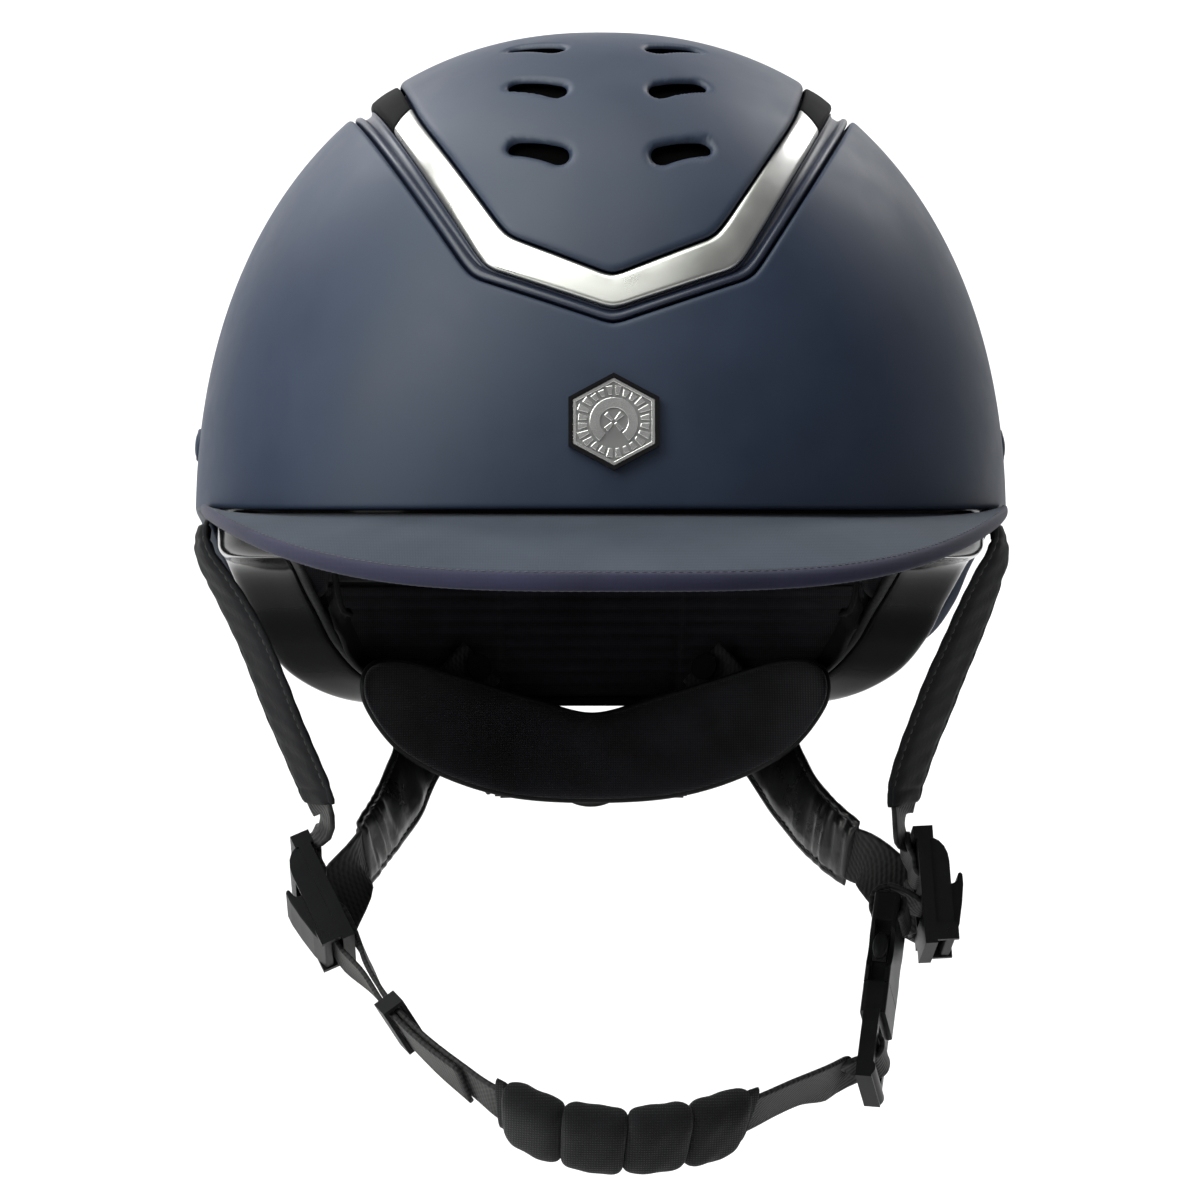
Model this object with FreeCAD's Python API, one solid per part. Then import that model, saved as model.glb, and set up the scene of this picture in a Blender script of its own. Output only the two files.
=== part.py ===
import FreeCAD, Part
import math
import os
from FreeCAD import Vector

# Equestrian riding helmet, as worn: the peak faces -Y, the crown +Z, the wearer's left is +X.
# Origin: mid plane, ear line, widest level of the shell. Millimetres.

# ---- driving dimensions: shell --------------------------------------------------------------
HALF_WIDTH = 110.0          # shell half width at its widest level
HALF_FRONT = 125.0          # from the ear line to the front of the shell
HALF_REAR = 130.0           # from the ear line to the back of the shell
CROWN_HEIGHT = 135.0        # from the widest level to the crown
POWER = 2.2                 # squareness of the shell's sections, 2 is an ellipse
SHELL_T = 3.0               # outer shell wall
STRAP_SLOT = 3.0            # slot between the shell and the lower rim, where the straps come out
LINER_IN = 25.0             # depth of the impact liner's inner face below the shell's surface
PAD_T = 5.0                 # comfort padding on the liner
SKIN_GAP = 0.3              # gap between moulded skins that lie on each other
LINER_STEP_Z = 32.0         # the strap slot ends at this height

# Lower edges in side view, as (y, z) from front to back.
RIM_LOW = [(-180, -8), (-125, -8), (-60, -8), (-10, -8), (20, -10), (45, -19),
           (60, -30), (75, -41), (95, -49), (118, -48.5), (180, -47)]
SHELL_LOW = [(-180, 3.6), (-125, 3.6), (-80, 4.3), (-37, 5.3), (-10, 4.6), (20, 1.5), (45, -7.3),
             (60, -18.3), (75, -29.3), (95, -37.3), (118, -36.8), (180, -35.3)]
RIM_WALL = 2.0
RIM_HEIGHT = 18.0
PIPING_W = 2.8

# ---- driving dimensions: crown panel and chevron ----------------------------------------------
# Each line is a V in front view, from the centre line to a knee, then up and outwards.
GROOVE_LINE = [(0, 49.8), (35.9, 62.2), (65.6, 107.4), (100.0, 159.7)]
STRIP_OUTER = [(0, 53.9), (31.9, 64.9), (55.5, 102.9), (89.0, 156.8)]
STRIP_INNER = [(0, 62.3), (26.8, 73.0), (49.5, 106.2), (72.0, 160.0)]
LEDGE_DEPTH = 3.2           # depth of the ledge that the strip stands on
LEDGE_T = 2.0
LEDGE_BEAD = 2.2            # raised bead beside the groove
PANEL_GAP = 0.5
STRIP_TOP = 0.3             # the strip's face lies this far below the shell's surface
TRIM_SPLIT_Z = 107.0        # the bright trim ends here and the black trim runs on over the crown
SLOT_L, SLOT_W = 17.5, 6.5  # ventilation slots
SLOT_SLANT = 31.0
SLOT_X = 19.0
SLOT_ROWS = [-92.0, -71.0, -45.0, 45.0, 71.0]

# ---- driving dimensions: badge and side rivets --------------------------------------------------
BADGE_W, BADGE_H, BADGE_Z = 22.7, 24.6, 25.3
BADGE_RIM = 1.0
BADGE_PROUD = 1.5
RIVET_R, RIVET_Y, RIVET_Z = 4.4, -8.0, 23.0
RIVET_PROUD = 1.1

# ---- driving dimensions: peak --------------------------------------------------------------------
PEAK_REACH = 50.0           # beyond the front of the shell
PEAK_HALF_W = 107.0
PEAK_ROOT_Y = -34.0
PEAK_ROOT_Z = 2.8
PEAK_ROOT_RISE = 1.0        # the peak's root stands this much higher at its sides
PEAK_TIP_Z = -17.3
PEAK_SIDE_Z = 3.9
PEAK_EDGE_T = 4.0
PEAK_SKIN = 0.8
PEAK_LINING = 0.6
BINDING_DEPTH = 2.6
PEAK_END = 86.0             # degrees either side of the front

# ---- driving dimensions: nape cradle -------------------------------------------------------------
CRADLE_A, CRADLE_B, CRADLE_C = 74.0, 85.0, 130.0   # the nape pad's inner face
NAPE_PAD_T = 6.5
DIAL_Y0, DIAL_Z = 97.8, -66.0
DIAL_R, DIAL_T = 13.5, 9.5
DIAL_RIBS = 22
PINION_TEETH, PINION_PITCH_R = 10, 4.0
GEAR_ADD, GEAR_DED = 0.55, 0.8
HOUSING_X = 28.0
HOUSING_Z = (-76.3, -55.7)
HOUSING_BACK = 95.2
COVER_T = 2.0
RACK_Y = (91.0, 94.4)
RACK_H = 2.6
RACK_ROOM = 0.25            # play round the racks in their housing
ARM_W, ARM_T = 8.0, 1.6
ARM_RELIEF = 1.0            # the pad is relieved round each arm, by half of this on every side
ARM_STUD_R, ARM_HEAD_R = 1.6, 3.6
KNOB_SHAFT_R, KNOB_DISH_R, KNOB_FLUTE_R = 3.05, 9.5, 0.95
DIAL_SCREW_R, DIAL_SCREW_HEAD_R = 1.2, 2.7
COVER_SCREW_R, COVER_HEAD_R = 0.75, 1.5
COVER_SCREWS = [(s * 22.5, DIAL_Z + t * 9.3) for s in (-1, 1) for t in (1, -1)]
BORE_PLAY = 0.1             # between a shaft or screw and its hole

CRADLE_SEMI = (CRADLE_A, CRADLE_B, CRADLE_B, CRADLE_C)
NAPE_TOP = [(0, -50.0), (18, -46.5), (36, -40.5), (52, -36.4), (61, -36.8)]
NAPE_SIDE = [(65.0, -40.5), (64.0, -49.0)]
NAPE_LOW = [(55.0, -61.0), (40.0, -69.0), (22.0, -74.3), (0, -76.0)]

# Each arm from the housing to the liner, as (x, z, distance off the pad's inner face).
ARM_ROUTE = [(29.0, -62.6, 8.8), (37, -60.5, 9.4), (43, -57.5, 9.0), (52, -51.0, 9.0), (60, -43.5, 9.0),
             (65.4, -37.0, 9.0), (69.6, -30.0, 7.8), (72.0, -20.0, 3.6), (73.2, -8.0, 2.4), (73.0, 2.0, 1.4)]
ARM_KNEE_DROP = 3.4         # the right arm comes from the lower rack, so its first bend is lower

# ---- driving dimensions: harness ----------------------------------------------------------------
WEB_W, WEB_T = 16.0, 1.4
SLEEVE_W, SLEEVE_T = 21.0, 3.4
CHIN_WEB_W = 15.0

# The side-release buckle, in its own axes: up its length, outwards through its thickness.
BUCKLE_TOP = Vector(79.8, 1.0, -103.2)
BUCKLE_DOWN = Vector(-0.154, -0.435, -0.888)
BUCKLE_OUT = Vector(0.98, -0.20, 0.0)
SOCKET_W, SOCKET_T, SOCKET_L = 21.0, 7.0, 26.0
SOCKET_SLOT_Z = (-6.9, -3.0)
SOCKET_ROOM_Z = -8.2
PRONG_Y = (5.3, 8.3)
PRONG_TIP_Z = -10.5
PRONG_PAD_Z = (-20.0, -12.0)
PRONG_PIVOT_Z = -28.5
SHOULDER_Z = (-35.0, -26.2)
LADDER_END_Z = -54.2


# ---- helpers --------------------------------------------------------------------------------------
def save(shape, name):
    if not shape.isValid() or shape.Volume <= 0:
        print("CHECK", name, shape.isValid(), shape.Volume)
    shape.exportStep("parts/%s.step" % name)
    print(name, len(shape.Solids), round(shape.Volume / 1000.0, 2), "cm3")


def as_solid(faces):
    shell = Part.makeShell(faces)
    shell.sewShape()
    solid = Part.Solid(shell)
    if solid.Volume < 0:
        solid.reverse()
    return solid


def egg_point(dx, dy, dz, off, semi):
    """The point of the egg-shaped surface in a direction, moved out along the surface normal."""
    a, front, rear, c = semi
    b = front if dy < 0 else rear
    r = (abs(dx / a) ** POWER + abs(dy / b) ** POWER + abs(dz / c) ** POWER) ** (-1.0 / POWER)
    p = Vector(dx * r, dy * r, dz * r)
    g = Vector(math.copysign(abs(p.x / a) ** (POWER - 1) / a, p.x),
               math.copysign(abs(p.y / b) ** (POWER - 1) / b, p.y),
               math.copysign(abs(p.z / c) ** (POWER - 1) / c, p.z))
    g.normalize()
    return p + g * off


SHELL_SEMI = (HALF_WIDTH, HALF_FRONT, HALF_REAR, CROWN_HEIGHT)
GRID, REACH, FLOOR_Z = 32, 1.7, -130.0


def egg(off, semi=SHELL_SEMI):
    """A solid under the surface: the egg down past its widest level, then straight walls."""
    step = 2.0 * REACH / GRID
    rows = []
    for i in range(GRID + 1):
        row = []
        for j in range(GRID + 1):
            u, v = -REACH + i * step, -REACH + j * step
            s = 1.0 + u * u + v * v
            row.append(egg_point(2 * u / s, 2 * v / s, (1 - u * u - v * v) / s, off, semi))
        rows.append(row)
    top = Part.BSplineSurface()
    top.interpolate(rows)
    faces = [top.toShape()]
    low_edges = []
    for edge in faces[0].OuterWire.Edges:
        low = Part.BSplineCurve()
        low.interpolate([Vector(p.x, p.y, FLOOR_Z) for p in edge.discretize(GRID + 1)])
        low_edges.append(low.toShape())
        faces.append(Part.makeRuledSurface(edge, low_edges[-1]))
    faces.append(Part.Face(Part.Wire(Part.__sortEdges__(low_edges))))
    return as_solid(faces)


def skin(outer_off, inner_off):
    return egg(outer_off).cut(egg(inner_off))


def over_line(points, rise=0.0, top=200.0, bottom=None):
    """The space above a line in side view, or the band between two such lines."""
    line = Part.BSplineCurve()
    line.interpolate([Vector(-300, y, z + rise) for y, z in points])
    first, last = line.StartPoint, line.EndPoint
    if bottom is None:
        a, b = Vector(-300, last.y, top), Vector(-300, first.y, top)
        edges = [line.toShape(), Part.makeLine(last, a), Part.makeLine(a, b), Part.makeLine(b, first)]
    else:
        up = Part.BSplineCurve()
        up.interpolate([Vector(-300, y, z + bottom) for y, z in points])
        edges = [line.toShape(), Part.makeLine(last, up.EndPoint), up.toShape(),
                 Part.makeLine(up.StartPoint, first)]
    face = Part.Face(Part.Wire(Part.__sortEdges__(edges)))
    return face.extrude(Vector(600, 0, 0))


def band_over_rim(low, high):
    return over_line(RIM_LOW, rise=low, bottom=high)


def in_front_view(line, shift=0.0, y0=-200.0, depth=400.0):
    """The prism along Y above a V line, moved outwards (+) or inwards (-) in front view."""
    moved = []
    for i, (x, z) in enumerate(line):
        before = line[i - 1] if i else (-line[1][0], line[1][1])
        after = line[i + 1] if i + 1 < len(line) else (2 * x - line[i - 1][0], 2 * z - line[i - 1][1])
        d1 = Vector(x - before[0], 0, z - before[1]).normalize()
        d2 = Vector(after[0] - x, 0, after[1] - z).normalize()
        n1, n2 = Vector(d1.z, 0, -d1.x), Vector(d2.z, 0, -d2.x)
        bis = (n1 + n2).normalize()
        moved.append(Vector(x, y0, z) + bis * (shift / bis.dot(n1)))
    left = [Vector(-p.x, p.y, p.z) for p in reversed(moved[1:])]
    face = Part.Face(Part.makePolygon(left + moved + [left[0]]))
    return face.extrude(Vector(0, depth, 0))


def plate(top_rows, bottom_rows):
    """A curved plate between two grids of points."""
    top, low = Part.BSplineSurface(), Part.BSplineSurface()
    top.interpolate(top_rows)
    low.interpolate(bottom_rows)
    top_face, low_face = top.toShape(), low.toShape()
    faces = [top_face, low_face]
    for e1, e2 in zip(top_face.OuterWire.Edges, low_face.OuterWire.Edges):
        faces.append(Part.makeRuledSurface(e1, e2))
    return as_solid(faces)


def frame_along(points, sides):
    """Position, width direction and face normal at each point of a strap."""
    out = []
    for i, p in enumerate(points):
        a = points[max(i - 1, 0)]
        b = points[min(i + 1, len(points) - 1)]
        t = (b - a).normalize()
        w = (sides[i] - t * sides[i].dot(t)).normalize()
        out.append((p, w, t.cross(w)))
    return out


def strap(points, sides, width, thick):
    """A strap of flat section through the points, its width along the sides."""
    wires = []
    for p, w, n in frame_along(points, sides):
        a, b = w * (width / 2.0), n * (thick / 2.0)
        wires.append(Part.makePolygon([p - a - b, p + a - b, p + a + b, p - a + b, p - a - b]))
    return Part.makeLoft(wires, True, True)


def vecs(rows):
    return [Vector(*r) for r in rows]


def placed(shape, origin, x_axis, z_axis):
    """The shape moved from its own axes to an origin, with its X and Z along the given ones."""
    z = Vector(z_axis).normalize()
    x = Vector(x_axis)
    x = (x - z * x.dot(z)).normalize()
    y = z.cross(x)
    m = FreeCAD.Matrix(x.x, y.x, z.x, origin.x, x.y, y.y, z.y, origin.y,
                       x.z, y.z, z.z, origin.z, 0, 0, 0, 1)
    moved = shape.copy()
    moved.transformShape(m)
    return moved


def centred_box(lx, ly, lz, at=(0, 0, 0)):
    return Part.makeBox(lx, ly, lz, Vector(at[0] - lx / 2.0, at[1] - ly / 2.0, at[2] - lz / 2.0))


def all_of(shapes):
    return Part.makeCompound(shapes)


def half_space(z, above=True):
    return Part.makeBox(600, 600, 300, Vector(-300, -300, z if above else z - 300))


# ---- shell, crown panel and chevron -----------------------------------------------------------------
def egg_height(x, y):
    b = HALF_FRONT if y < 0 else HALF_REAR
    return CROWN_HEIGHT * (1 - abs(x / HALF_WIDTH) ** POWER - abs(y / b) ** POWER) ** (1 / POWER)


def slot_tool(x, y, length, width, deep=60.0):
    """A rounded slot cut square to the shell at a place on the crown."""
    on = Vector(x, y, egg_height(x, y))
    out = (egg_point(on.x, on.y, on.z, 1.0, SHELL_SEMI) - egg_point(on.x, on.y, on.z, 0.0, SHELL_SEMI))
    slant = math.radians(SLOT_SLANT) * (1 if y < 0 else -1) * (1 if x > 0 else -1)
    tool = centred_box(length - width, width, deep)
    for end in (-1, 1):
        tool = tool.fuse(Part.makeCylinder(width / 2.0, deep,
                                           Vector(end * (length - width) / 2.0, 0, -deep / 2.0)))
    return placed(tool.removeSplitter(), on, Vector(math.cos(slant), math.sin(slant), 0), out)


def slot_tools(grow=0.0, deep=60.0):
    return [slot_tool(side * SLOT_X, y, SLOT_L + grow, SLOT_W + grow, deep)
            for y in SLOT_ROWS for side in (-1, 1)]


crown_opening = in_front_view(GROOVE_LINE)
strip_outer = in_front_view(STRIP_OUTER)
strip_inner = in_front_view(STRIP_INNER)
shell_skin = skin(0, -SHELL_T)


def outer_shell():
    shell = shell_skin.common(over_line(SHELL_LOW)).cut(crown_opening)
    return shell.cut(all_of([rivet_hole(side) for side in (-1, 1)]))


def rivet_axis_point(side):
    x = HALF_WIDTH * (1 - (RIVET_Z / CROWN_HEIGHT) ** POWER) ** (1 / POWER)
    return Vector(side * x, RIVET_Y, RIVET_Z)


def rivet_cylinder(side, r, inner, outer):
    """A cylinder on the side rivet's axis between two distances from the shell's surface."""
    at = rivet_axis_point(side) + Vector(side * inner, 0, 0)
    return Part.makeCylinder(r, abs(outer - inner), at, Vector(side, 0, 0))


SHANK_R = 2.0


def rivet_hole(side):
    return rivet_cylinder(side, SHANK_R + 0.1, -14.0, 3.0)


def side_rivets():
    """The two round rivets that hold the front straps, each a low domed head on a shank."""
    made = []
    for side in (-1, 1):
        head = rivet_cylinder(side, RIVET_R, -1.6, RIVET_PROUD).cut(egg(0.02))
        shank = rivet_cylinder(side, SHANK_R, -8.0, 0.3)
        made.append(head.fuse(shank).removeSplitter())
    return all_of(made)


def rivet_washers():
    """The washers that back the rivets inside the impact liner."""
    return all_of([rivet_cylinder(s, 5.5, -9.6, -8.4).cut(rivet_hole(s)).fuse(
        rivet_cylinder(s, 3.2, -9.6, -8.9)) for s in (-1, 1)])


def panel_surround():
    """The recessed ring round the crown panel, with the small bead beside its groove."""
    base = skin(-LEDGE_DEPTH, -LEDGE_DEPTH - LEDGE_T).common(in_front_view(GROOVE_LINE, 5.0))
    base = base.cut(in_front_view(STRIP_INNER, -6.0))
    bead = skin(-0.9, -LEDGE_DEPTH).common(in_front_view(GROOVE_LINE, -0.6))
    bead = bead.cut(in_front_view(GROOVE_LINE, -0.6 - LEDGE_BEAD))
    return base.fuse(bead).removeSplitter()


def trims():
    """The chevron strip: the bright front part, and the black part over the crown and behind."""
    strip = skin(-STRIP_TOP, -LEDGE_DEPTH).common(strip_outer).cut(strip_inner)
    front = Part.makeBox(400, 200, 300, Vector(-200, -200, TRIM_SPLIT_Z - 300))
    return strip.common(front), strip.cut(front)


def crown_panel():
    panel = skin(0, -SHELL_T).common(in_front_view(STRIP_INNER, -PANEL_GAP))
    return panel.cut(all_of(slot_tools()))


def vent_mesh():
    """The thin perforated screen under the panel's slots."""
    screen = skin(-LEDGE_DEPTH, -LEDGE_DEPTH - 0.8).common(in_front_view(STRIP_INNER, -6.4))
    holes = []
    for y in SLOT_ROWS:
        for side in (-1, 1):
            for k in range(-2, 3):
                on = Vector(side * (SLOT_X + 3.0 * k), y + (1.8 if y < 0 else -1.8) * k, 0)
                holes.append(Part.makeCylinder(1.1, 100, Vector(on.x, on.y, 60)))
    return screen.cut(all_of(holes))


# ---- badge -----------------------------------------------------------------------------------------------
badge_on = Vector(0, -HALF_FRONT * (1 - (BADGE_Z / CROWN_HEIGHT) ** POWER) ** (1 / POWER), BADGE_Z)
badge_out = egg_point(0, badge_on.y, badge_on.z, 1.0, SHELL_SEMI) - badge_on


def hexagon(shrink, low, high):
    """A hexagonal prism at the badge, point up, between two heights along the badge's normal."""
    w, h = BADGE_W / 2.0 - shrink, BADGE_H / 2.0 - shrink * 1.1
    corners = [(0, h), (w, h / 2.0), (w, -h / 2.0), (0, -h), (-w, -h / 2.0), (-w, h / 2.0), (0, h)]
    face = Part.Face(Part.makePolygon([Vector(x, y, low) for x, y in corners]))
    return placed(face.extrude(Vector(0, 0, high - low)), badge_on, Vector(1, 0, 0), badge_out)


def badge_bezel():
    ring = hexagon(0, -3.0, BADGE_PROUD).cut(hexagon(BADGE_RIM, 0.5, BADGE_PROUD + 1))
    return ring.cut(egg(0.02))


def badge_plate():
    """The bright plate, with a raised horseshoe."""
    plate_body = hexagon(BADGE_RIM + 0.05, 0.5, BADGE_PROUD - 0.3)
    shoe = Part.makeCylinder(6.6, 0.5).cut(Part.makeCylinder(4.1, 0.5))
    shoe = shoe.cut(centred_box(5.6, 10, 2, (0, -6.0, 0)))
    shoe = placed(shoe, badge_on + badge_out * (BADGE_PROUD - 0.3), Vector(1, 0, 0), badge_out)
    return plate_body.fuse(shoe).removeSplitter()


# ---- peak ------------------------------------------------------------------------------------------------
shell_edge_room = skin(0.15, -SHELL_T - 0.1).common(over_line(SHELL_LOW, rise=-0.2, bottom=30.0))


def peak_point(angle, v, drop):
    """A point of the peak: angle round it in radians, v from the shell to its edge, drop below the top."""
    s, c = math.sin(angle), math.cos(angle)
    x_in = (PEAK_HALF_W - 0.5) * s
    y_in = -HALF_FRONT * (1 - abs(x_in / HALF_WIDTH) ** POWER) ** (1 / POWER)
    z_in = PEAK_ROOT_Z + PEAK_ROOT_RISE * (x_in / PEAK_HALF_W) ** 2
    root = egg_point(x_in, y_in, z_in, -(SHELL_T + STRAP_SLOT - 0.2), SHELL_SEMI)
    x_out = PEAK_HALF_W * s
    y_out = PEAK_ROOT_Y - (HALF_FRONT + PEAK_REACH + PEAK_ROOT_Y) * c
    edge_t = PEAK_EDGE_T - 1.4 * (1 - c)
    z_out = PEAK_TIP_Z + (PEAK_SIDE_Z - PEAK_TIP_Z) * abs(s) ** 3.5 + edge_t
    bulge = 1.5 * math.sin(math.pi * v) * c
    top = Vector(root.x, root.y, z_in) * (1 - v) + Vector(x_out, y_out, z_out) * v
    return top + Vector(0, 0, bulge - drop * edge_t / PEAK_EDGE_T)


def peak_layer(drop0, drop1, v0=0.0, v1=None):
    """A layer of the peak; without v1 it stops where the edge binding begins."""
    rows = {drop0: [], drop1: []}
    n = 28
    for i in range(n + 1):
        angle = math.radians(-PEAK_END + 2 * PEAK_END * i / n)
        width = (peak_point(angle, 1, 0) - peak_point(angle, 0, 0)).Length
        inner = 1 - (BINDING_DEPTH + 0.05) / width
        a, b = (v0, inner) if v1 is None else (inner + 0.05 / width, v1)
        for drop in rows:
            rows[drop].append([peak_point(angle, a + (b - a) * j / 4.0, drop) for j in range(5)])
    return plate(rows[drop0], rows[drop1]).cut(shell_edge_room)


# ---- lower rim and lining --------------------------------------------------------------------------------
def lower_rim():
    """The gloss channel that closes the helmet's lower edge: an outer wall and a flat underside."""
    outer = -(SHELL_T + STRAP_SLOT)
    wall = skin(outer, outer - RIM_WALL).common(band_over_rim(0, RIM_HEIGHT))
    floor = skin(outer, -LINER_IN + 0.3).common(band_over_rim(0, RIM_WALL))
    return wall.fuse(floor).removeSplitter()


def rim_piping():
    return skin(-LINER_IN + 0.2, -LINER_IN - PIPING_W).common(band_over_rim(-0.6, PIPING_W - 0.6))


def impact_liner():
    """The foam liner, stepped back behind the rim's wall and the strap slot."""
    behind_rim = SHELL_T + STRAP_SLOT + RIM_WALL + 0.2
    high = egg(-SHELL_T - SKIN_GAP).common(half_space(LINER_STEP_Z))
    mid = egg(-SHELL_T - STRAP_SLOT - 0.1).common(half_space(LINER_STEP_Z, False))
    mid = mid.common(over_line(RIM_LOW, rise=RIM_HEIGHT + 0.3))
    low = egg(-behind_rim).common(over_line(RIM_LOW, rise=RIM_WALL + 0.3))
    low = low.common(half_space(LINER_STEP_Z, False))
    foam = high.fuse(mid).fuse(low).cut(egg(-LINER_IN))
    recess = skin(-SHELL_T + 0.5, -LEDGE_DEPTH - LEDGE_T - 0.2).common(in_front_view(GROOVE_LINE, 5.4))
    foam = foam.cut(recess).cut(all_of(slot_tools(grow=1.5, deep=90.0)))
    pockets = [rivet_cylinder(s, 5.8, -10.0, -3.0) for s in (-1, 1)]
    pockets += [rear_anchor(s, 1.7, 2.0, 14.0) for s in (-1, 1)] + [arm_stud(s, 1.7) for s in (-1, 1)]
    return foam.cut(all_of(pockets)).removeSplitter()


def comfort_headband():
    """The padded band round the brow, sides and back of the head."""
    band = skin(-LINER_IN - SKIN_GAP, -LINER_IN - PAD_T).common(over_line(RIM_LOW, rise=3.2))
    band = band.common(half_space(36.0, False))
    nape = Part.makeBox(170, 100, 200, Vector(-85, 42, -214))
    return band.cut(nape).cut(all_of([arm_stud(s, 3.2) for s in (-1, 1)]))


def crown_pad():
    """A cross of padding under the crown."""
    pad = skin(-LINER_IN - SKIN_GAP, -LINER_IN - PAD_T).common(half_space(50.0))
    arms = centred_box(38, 300, 300).fuse(centred_box(300, 38, 300))
    return pad.common(arms).removeSplitter()


# ---- nape cradle -----------------------------------------------------------------------------------------
def cradle_point(x, z, off):
    a, b, c = CRADLE_A + off, CRADLE_B + off, CRADLE_C + off
    return Vector(x, b * (1 - abs(x / a) ** POWER - abs(z / c) ** POWER) ** (1 / POWER), z)


def smooth_outline(points, y0, depth):
    """A prism along Y with a smooth closed outline through the points in front view."""
    curve = Part.BSplineCurve()
    curve.interpolate([Vector(x, y0, z) for x, z in points], True)
    return Part.Face(Part.Wire(curve.toShape())).extrude(Vector(0, depth, 0))


def nape_pad():
    half = NAPE_TOP[1:] + NAPE_SIDE + NAPE_LOW[:-1]
    outline = [NAPE_TOP[0]] + half + [NAPE_LOW[-1]] + [(-x, z) for x, z in reversed(half)]
    body = egg(NAPE_PAD_T, CRADLE_SEMI).cut(egg(0.0, CRADLE_SEMI))
    relief = [strap(*arm_path(side), ARM_W + ARM_RELIEF, ARM_T + ARM_RELIEF) for side in (-1, 1)]
    return body.common(smooth_outline(outline, 5.0, 200.0)).cut(all_of(relief))


def dial_axis_cylinder(r, y0, y1):
    return Part.makeCylinder(r, y1 - y0, Vector(0, y0, DIAL_Z), Vector(0, 1, 0))


def cradle_housing():
    """The curved housing behind the pad, hollow for the racks and the pinion."""
    z0, z1 = HOUSING_Z
    body = Part.makeBox(2 * HOUSING_X, 40, z1 - z0, Vector(-HOUSING_X, HOUSING_BACK - 40, z0))
    body = body.cut(egg(NAPE_PAD_T + SKIN_GAP, CRADLE_SEMI))
    tall = PINION_PITCH_R + GEAR_DED + RACK_H + RACK_ROOM
    room = Part.makeBox(2 * HOUSING_X + 2, HOUSING_BACK - RACK_Y[0] + RACK_ROOM + 1, 2 * tall,
                        Vector(-HOUSING_X - 1, RACK_Y[0] - RACK_ROOM, DIAL_Z - tall))
    tips = [centred_box(9.0, 30, 30, (s * (HOUSING_X + 3.0), 88.0, z0 - 10.0)) for s in (-1, 1)]
    holes = [Part.makeCylinder(0.8, 6, Vector(x, HOUSING_BACK - 5.5, z), Vector(0, 1, 0))
             for x, z in COVER_SCREWS]
    return body.cut(room).cut(all_of(tips)).cut(all_of(holes))


def cradle_cover():
    z0, z1 = HOUSING_Z
    back = Part.makeBox(2 * HOUSING_X, COVER_T, z1 - z0, Vector(-HOUSING_X, HOUSING_BACK + 0.05, z0))
    boss = dial_axis_cylinder(8.0, HOUSING_BACK + 0.05, DIAL_Y0 - 0.1)
    holes = [Part.makeCylinder(0.9, 6, Vector(x, HOUSING_BACK - 1, z), Vector(0, 1, 0))
             for x, z in COVER_SCREWS]
    bore = dial_axis_cylinder(KNOB_SHAFT_R + BORE_PLAY, 90, 110)
    return back.fuse(boss).cut(bore).cut(all_of(holes)).removeSplitter()


def cover_screws():
    made = []
    for x, z in COVER_SCREWS:
        seat = Vector(x, HOUSING_BACK + COVER_T + 0.1, z)
        head = Part.makeCylinder(COVER_HEAD_R, 0.9, seat, Vector(0, 1, 0))
        shank = Part.makeCylinder(COVER_SCREW_R, 6.2, Vector(x, HOUSING_BACK - 4.0, z), Vector(0, 1, 0))
        made.append(head.fuse(shank).removeSplitter())
    return all_of(made)


def dial_knob():
    knob = dial_axis_cylinder(DIAL_R, DIAL_Y0, DIAL_Y0 + DIAL_T)
    knob = knob.fuse(dial_axis_cylinder(KNOB_SHAFT_R, RACK_Y[1] + 0.1, DIAL_Y0 + 0.5))
    flutes = []
    for i in range(DIAL_RIBS):
        a = 2 * math.pi * i / DIAL_RIBS
        flutes.append(Part.makeCylinder(KNOB_FLUTE_R, DIAL_T + 2, Vector(
            (DIAL_R + 0.25) * math.sin(a), DIAL_Y0 + 1.2, DIAL_Z + (DIAL_R + 0.25) * math.cos(a)),
            Vector(0, 1, 0)))
    dish = dial_axis_cylinder(KNOB_DISH_R, DIAL_Y0 + DIAL_T - 1.2, DIAL_Y0 + DIAL_T + 1)
    bore = dial_axis_cylinder(DIAL_SCREW_R + BORE_PLAY, 80, 120)
    seat = dial_axis_cylinder(DIAL_SCREW_HEAD_R + 2 * BORE_PLAY, DIAL_Y0 + DIAL_T - 3.2, 120)
    return knob.cut(all_of(flutes)).cut(dish).cut(bore).cut(seat)


def dial_screw():
    head = dial_axis_cylinder(DIAL_SCREW_HEAD_R, DIAL_Y0 + DIAL_T - 3.1, DIAL_Y0 + DIAL_T - 1.3)
    shank = dial_axis_cylinder(DIAL_SCREW_R, RACK_Y[0] + 0.3, DIAL_Y0 + DIAL_T - 3.0)
    return head.fuse(shank).removeSplitter()


def involute_tooth(base_r, tip_r, root_r, half_angle):
    """Corner points of one tooth about +X, its flanks along the involute of the base circle."""
    flank = []
    for k in range(5):
        r = max(base_r, root_r) + (tip_r - max(base_r, root_r)) * k / 4.0
        roll = math.sqrt(max((r / base_r) ** 2 - 1, 0))
        flank.append((r, half_angle - (roll - math.atan(roll))))
    lower = [(root_r, -flank[0][1])] + [(r, -a) for r, a in flank]
    return lower + [(r, a) for r, a in reversed(flank)] + [(root_r, flank[0][1])]


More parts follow.
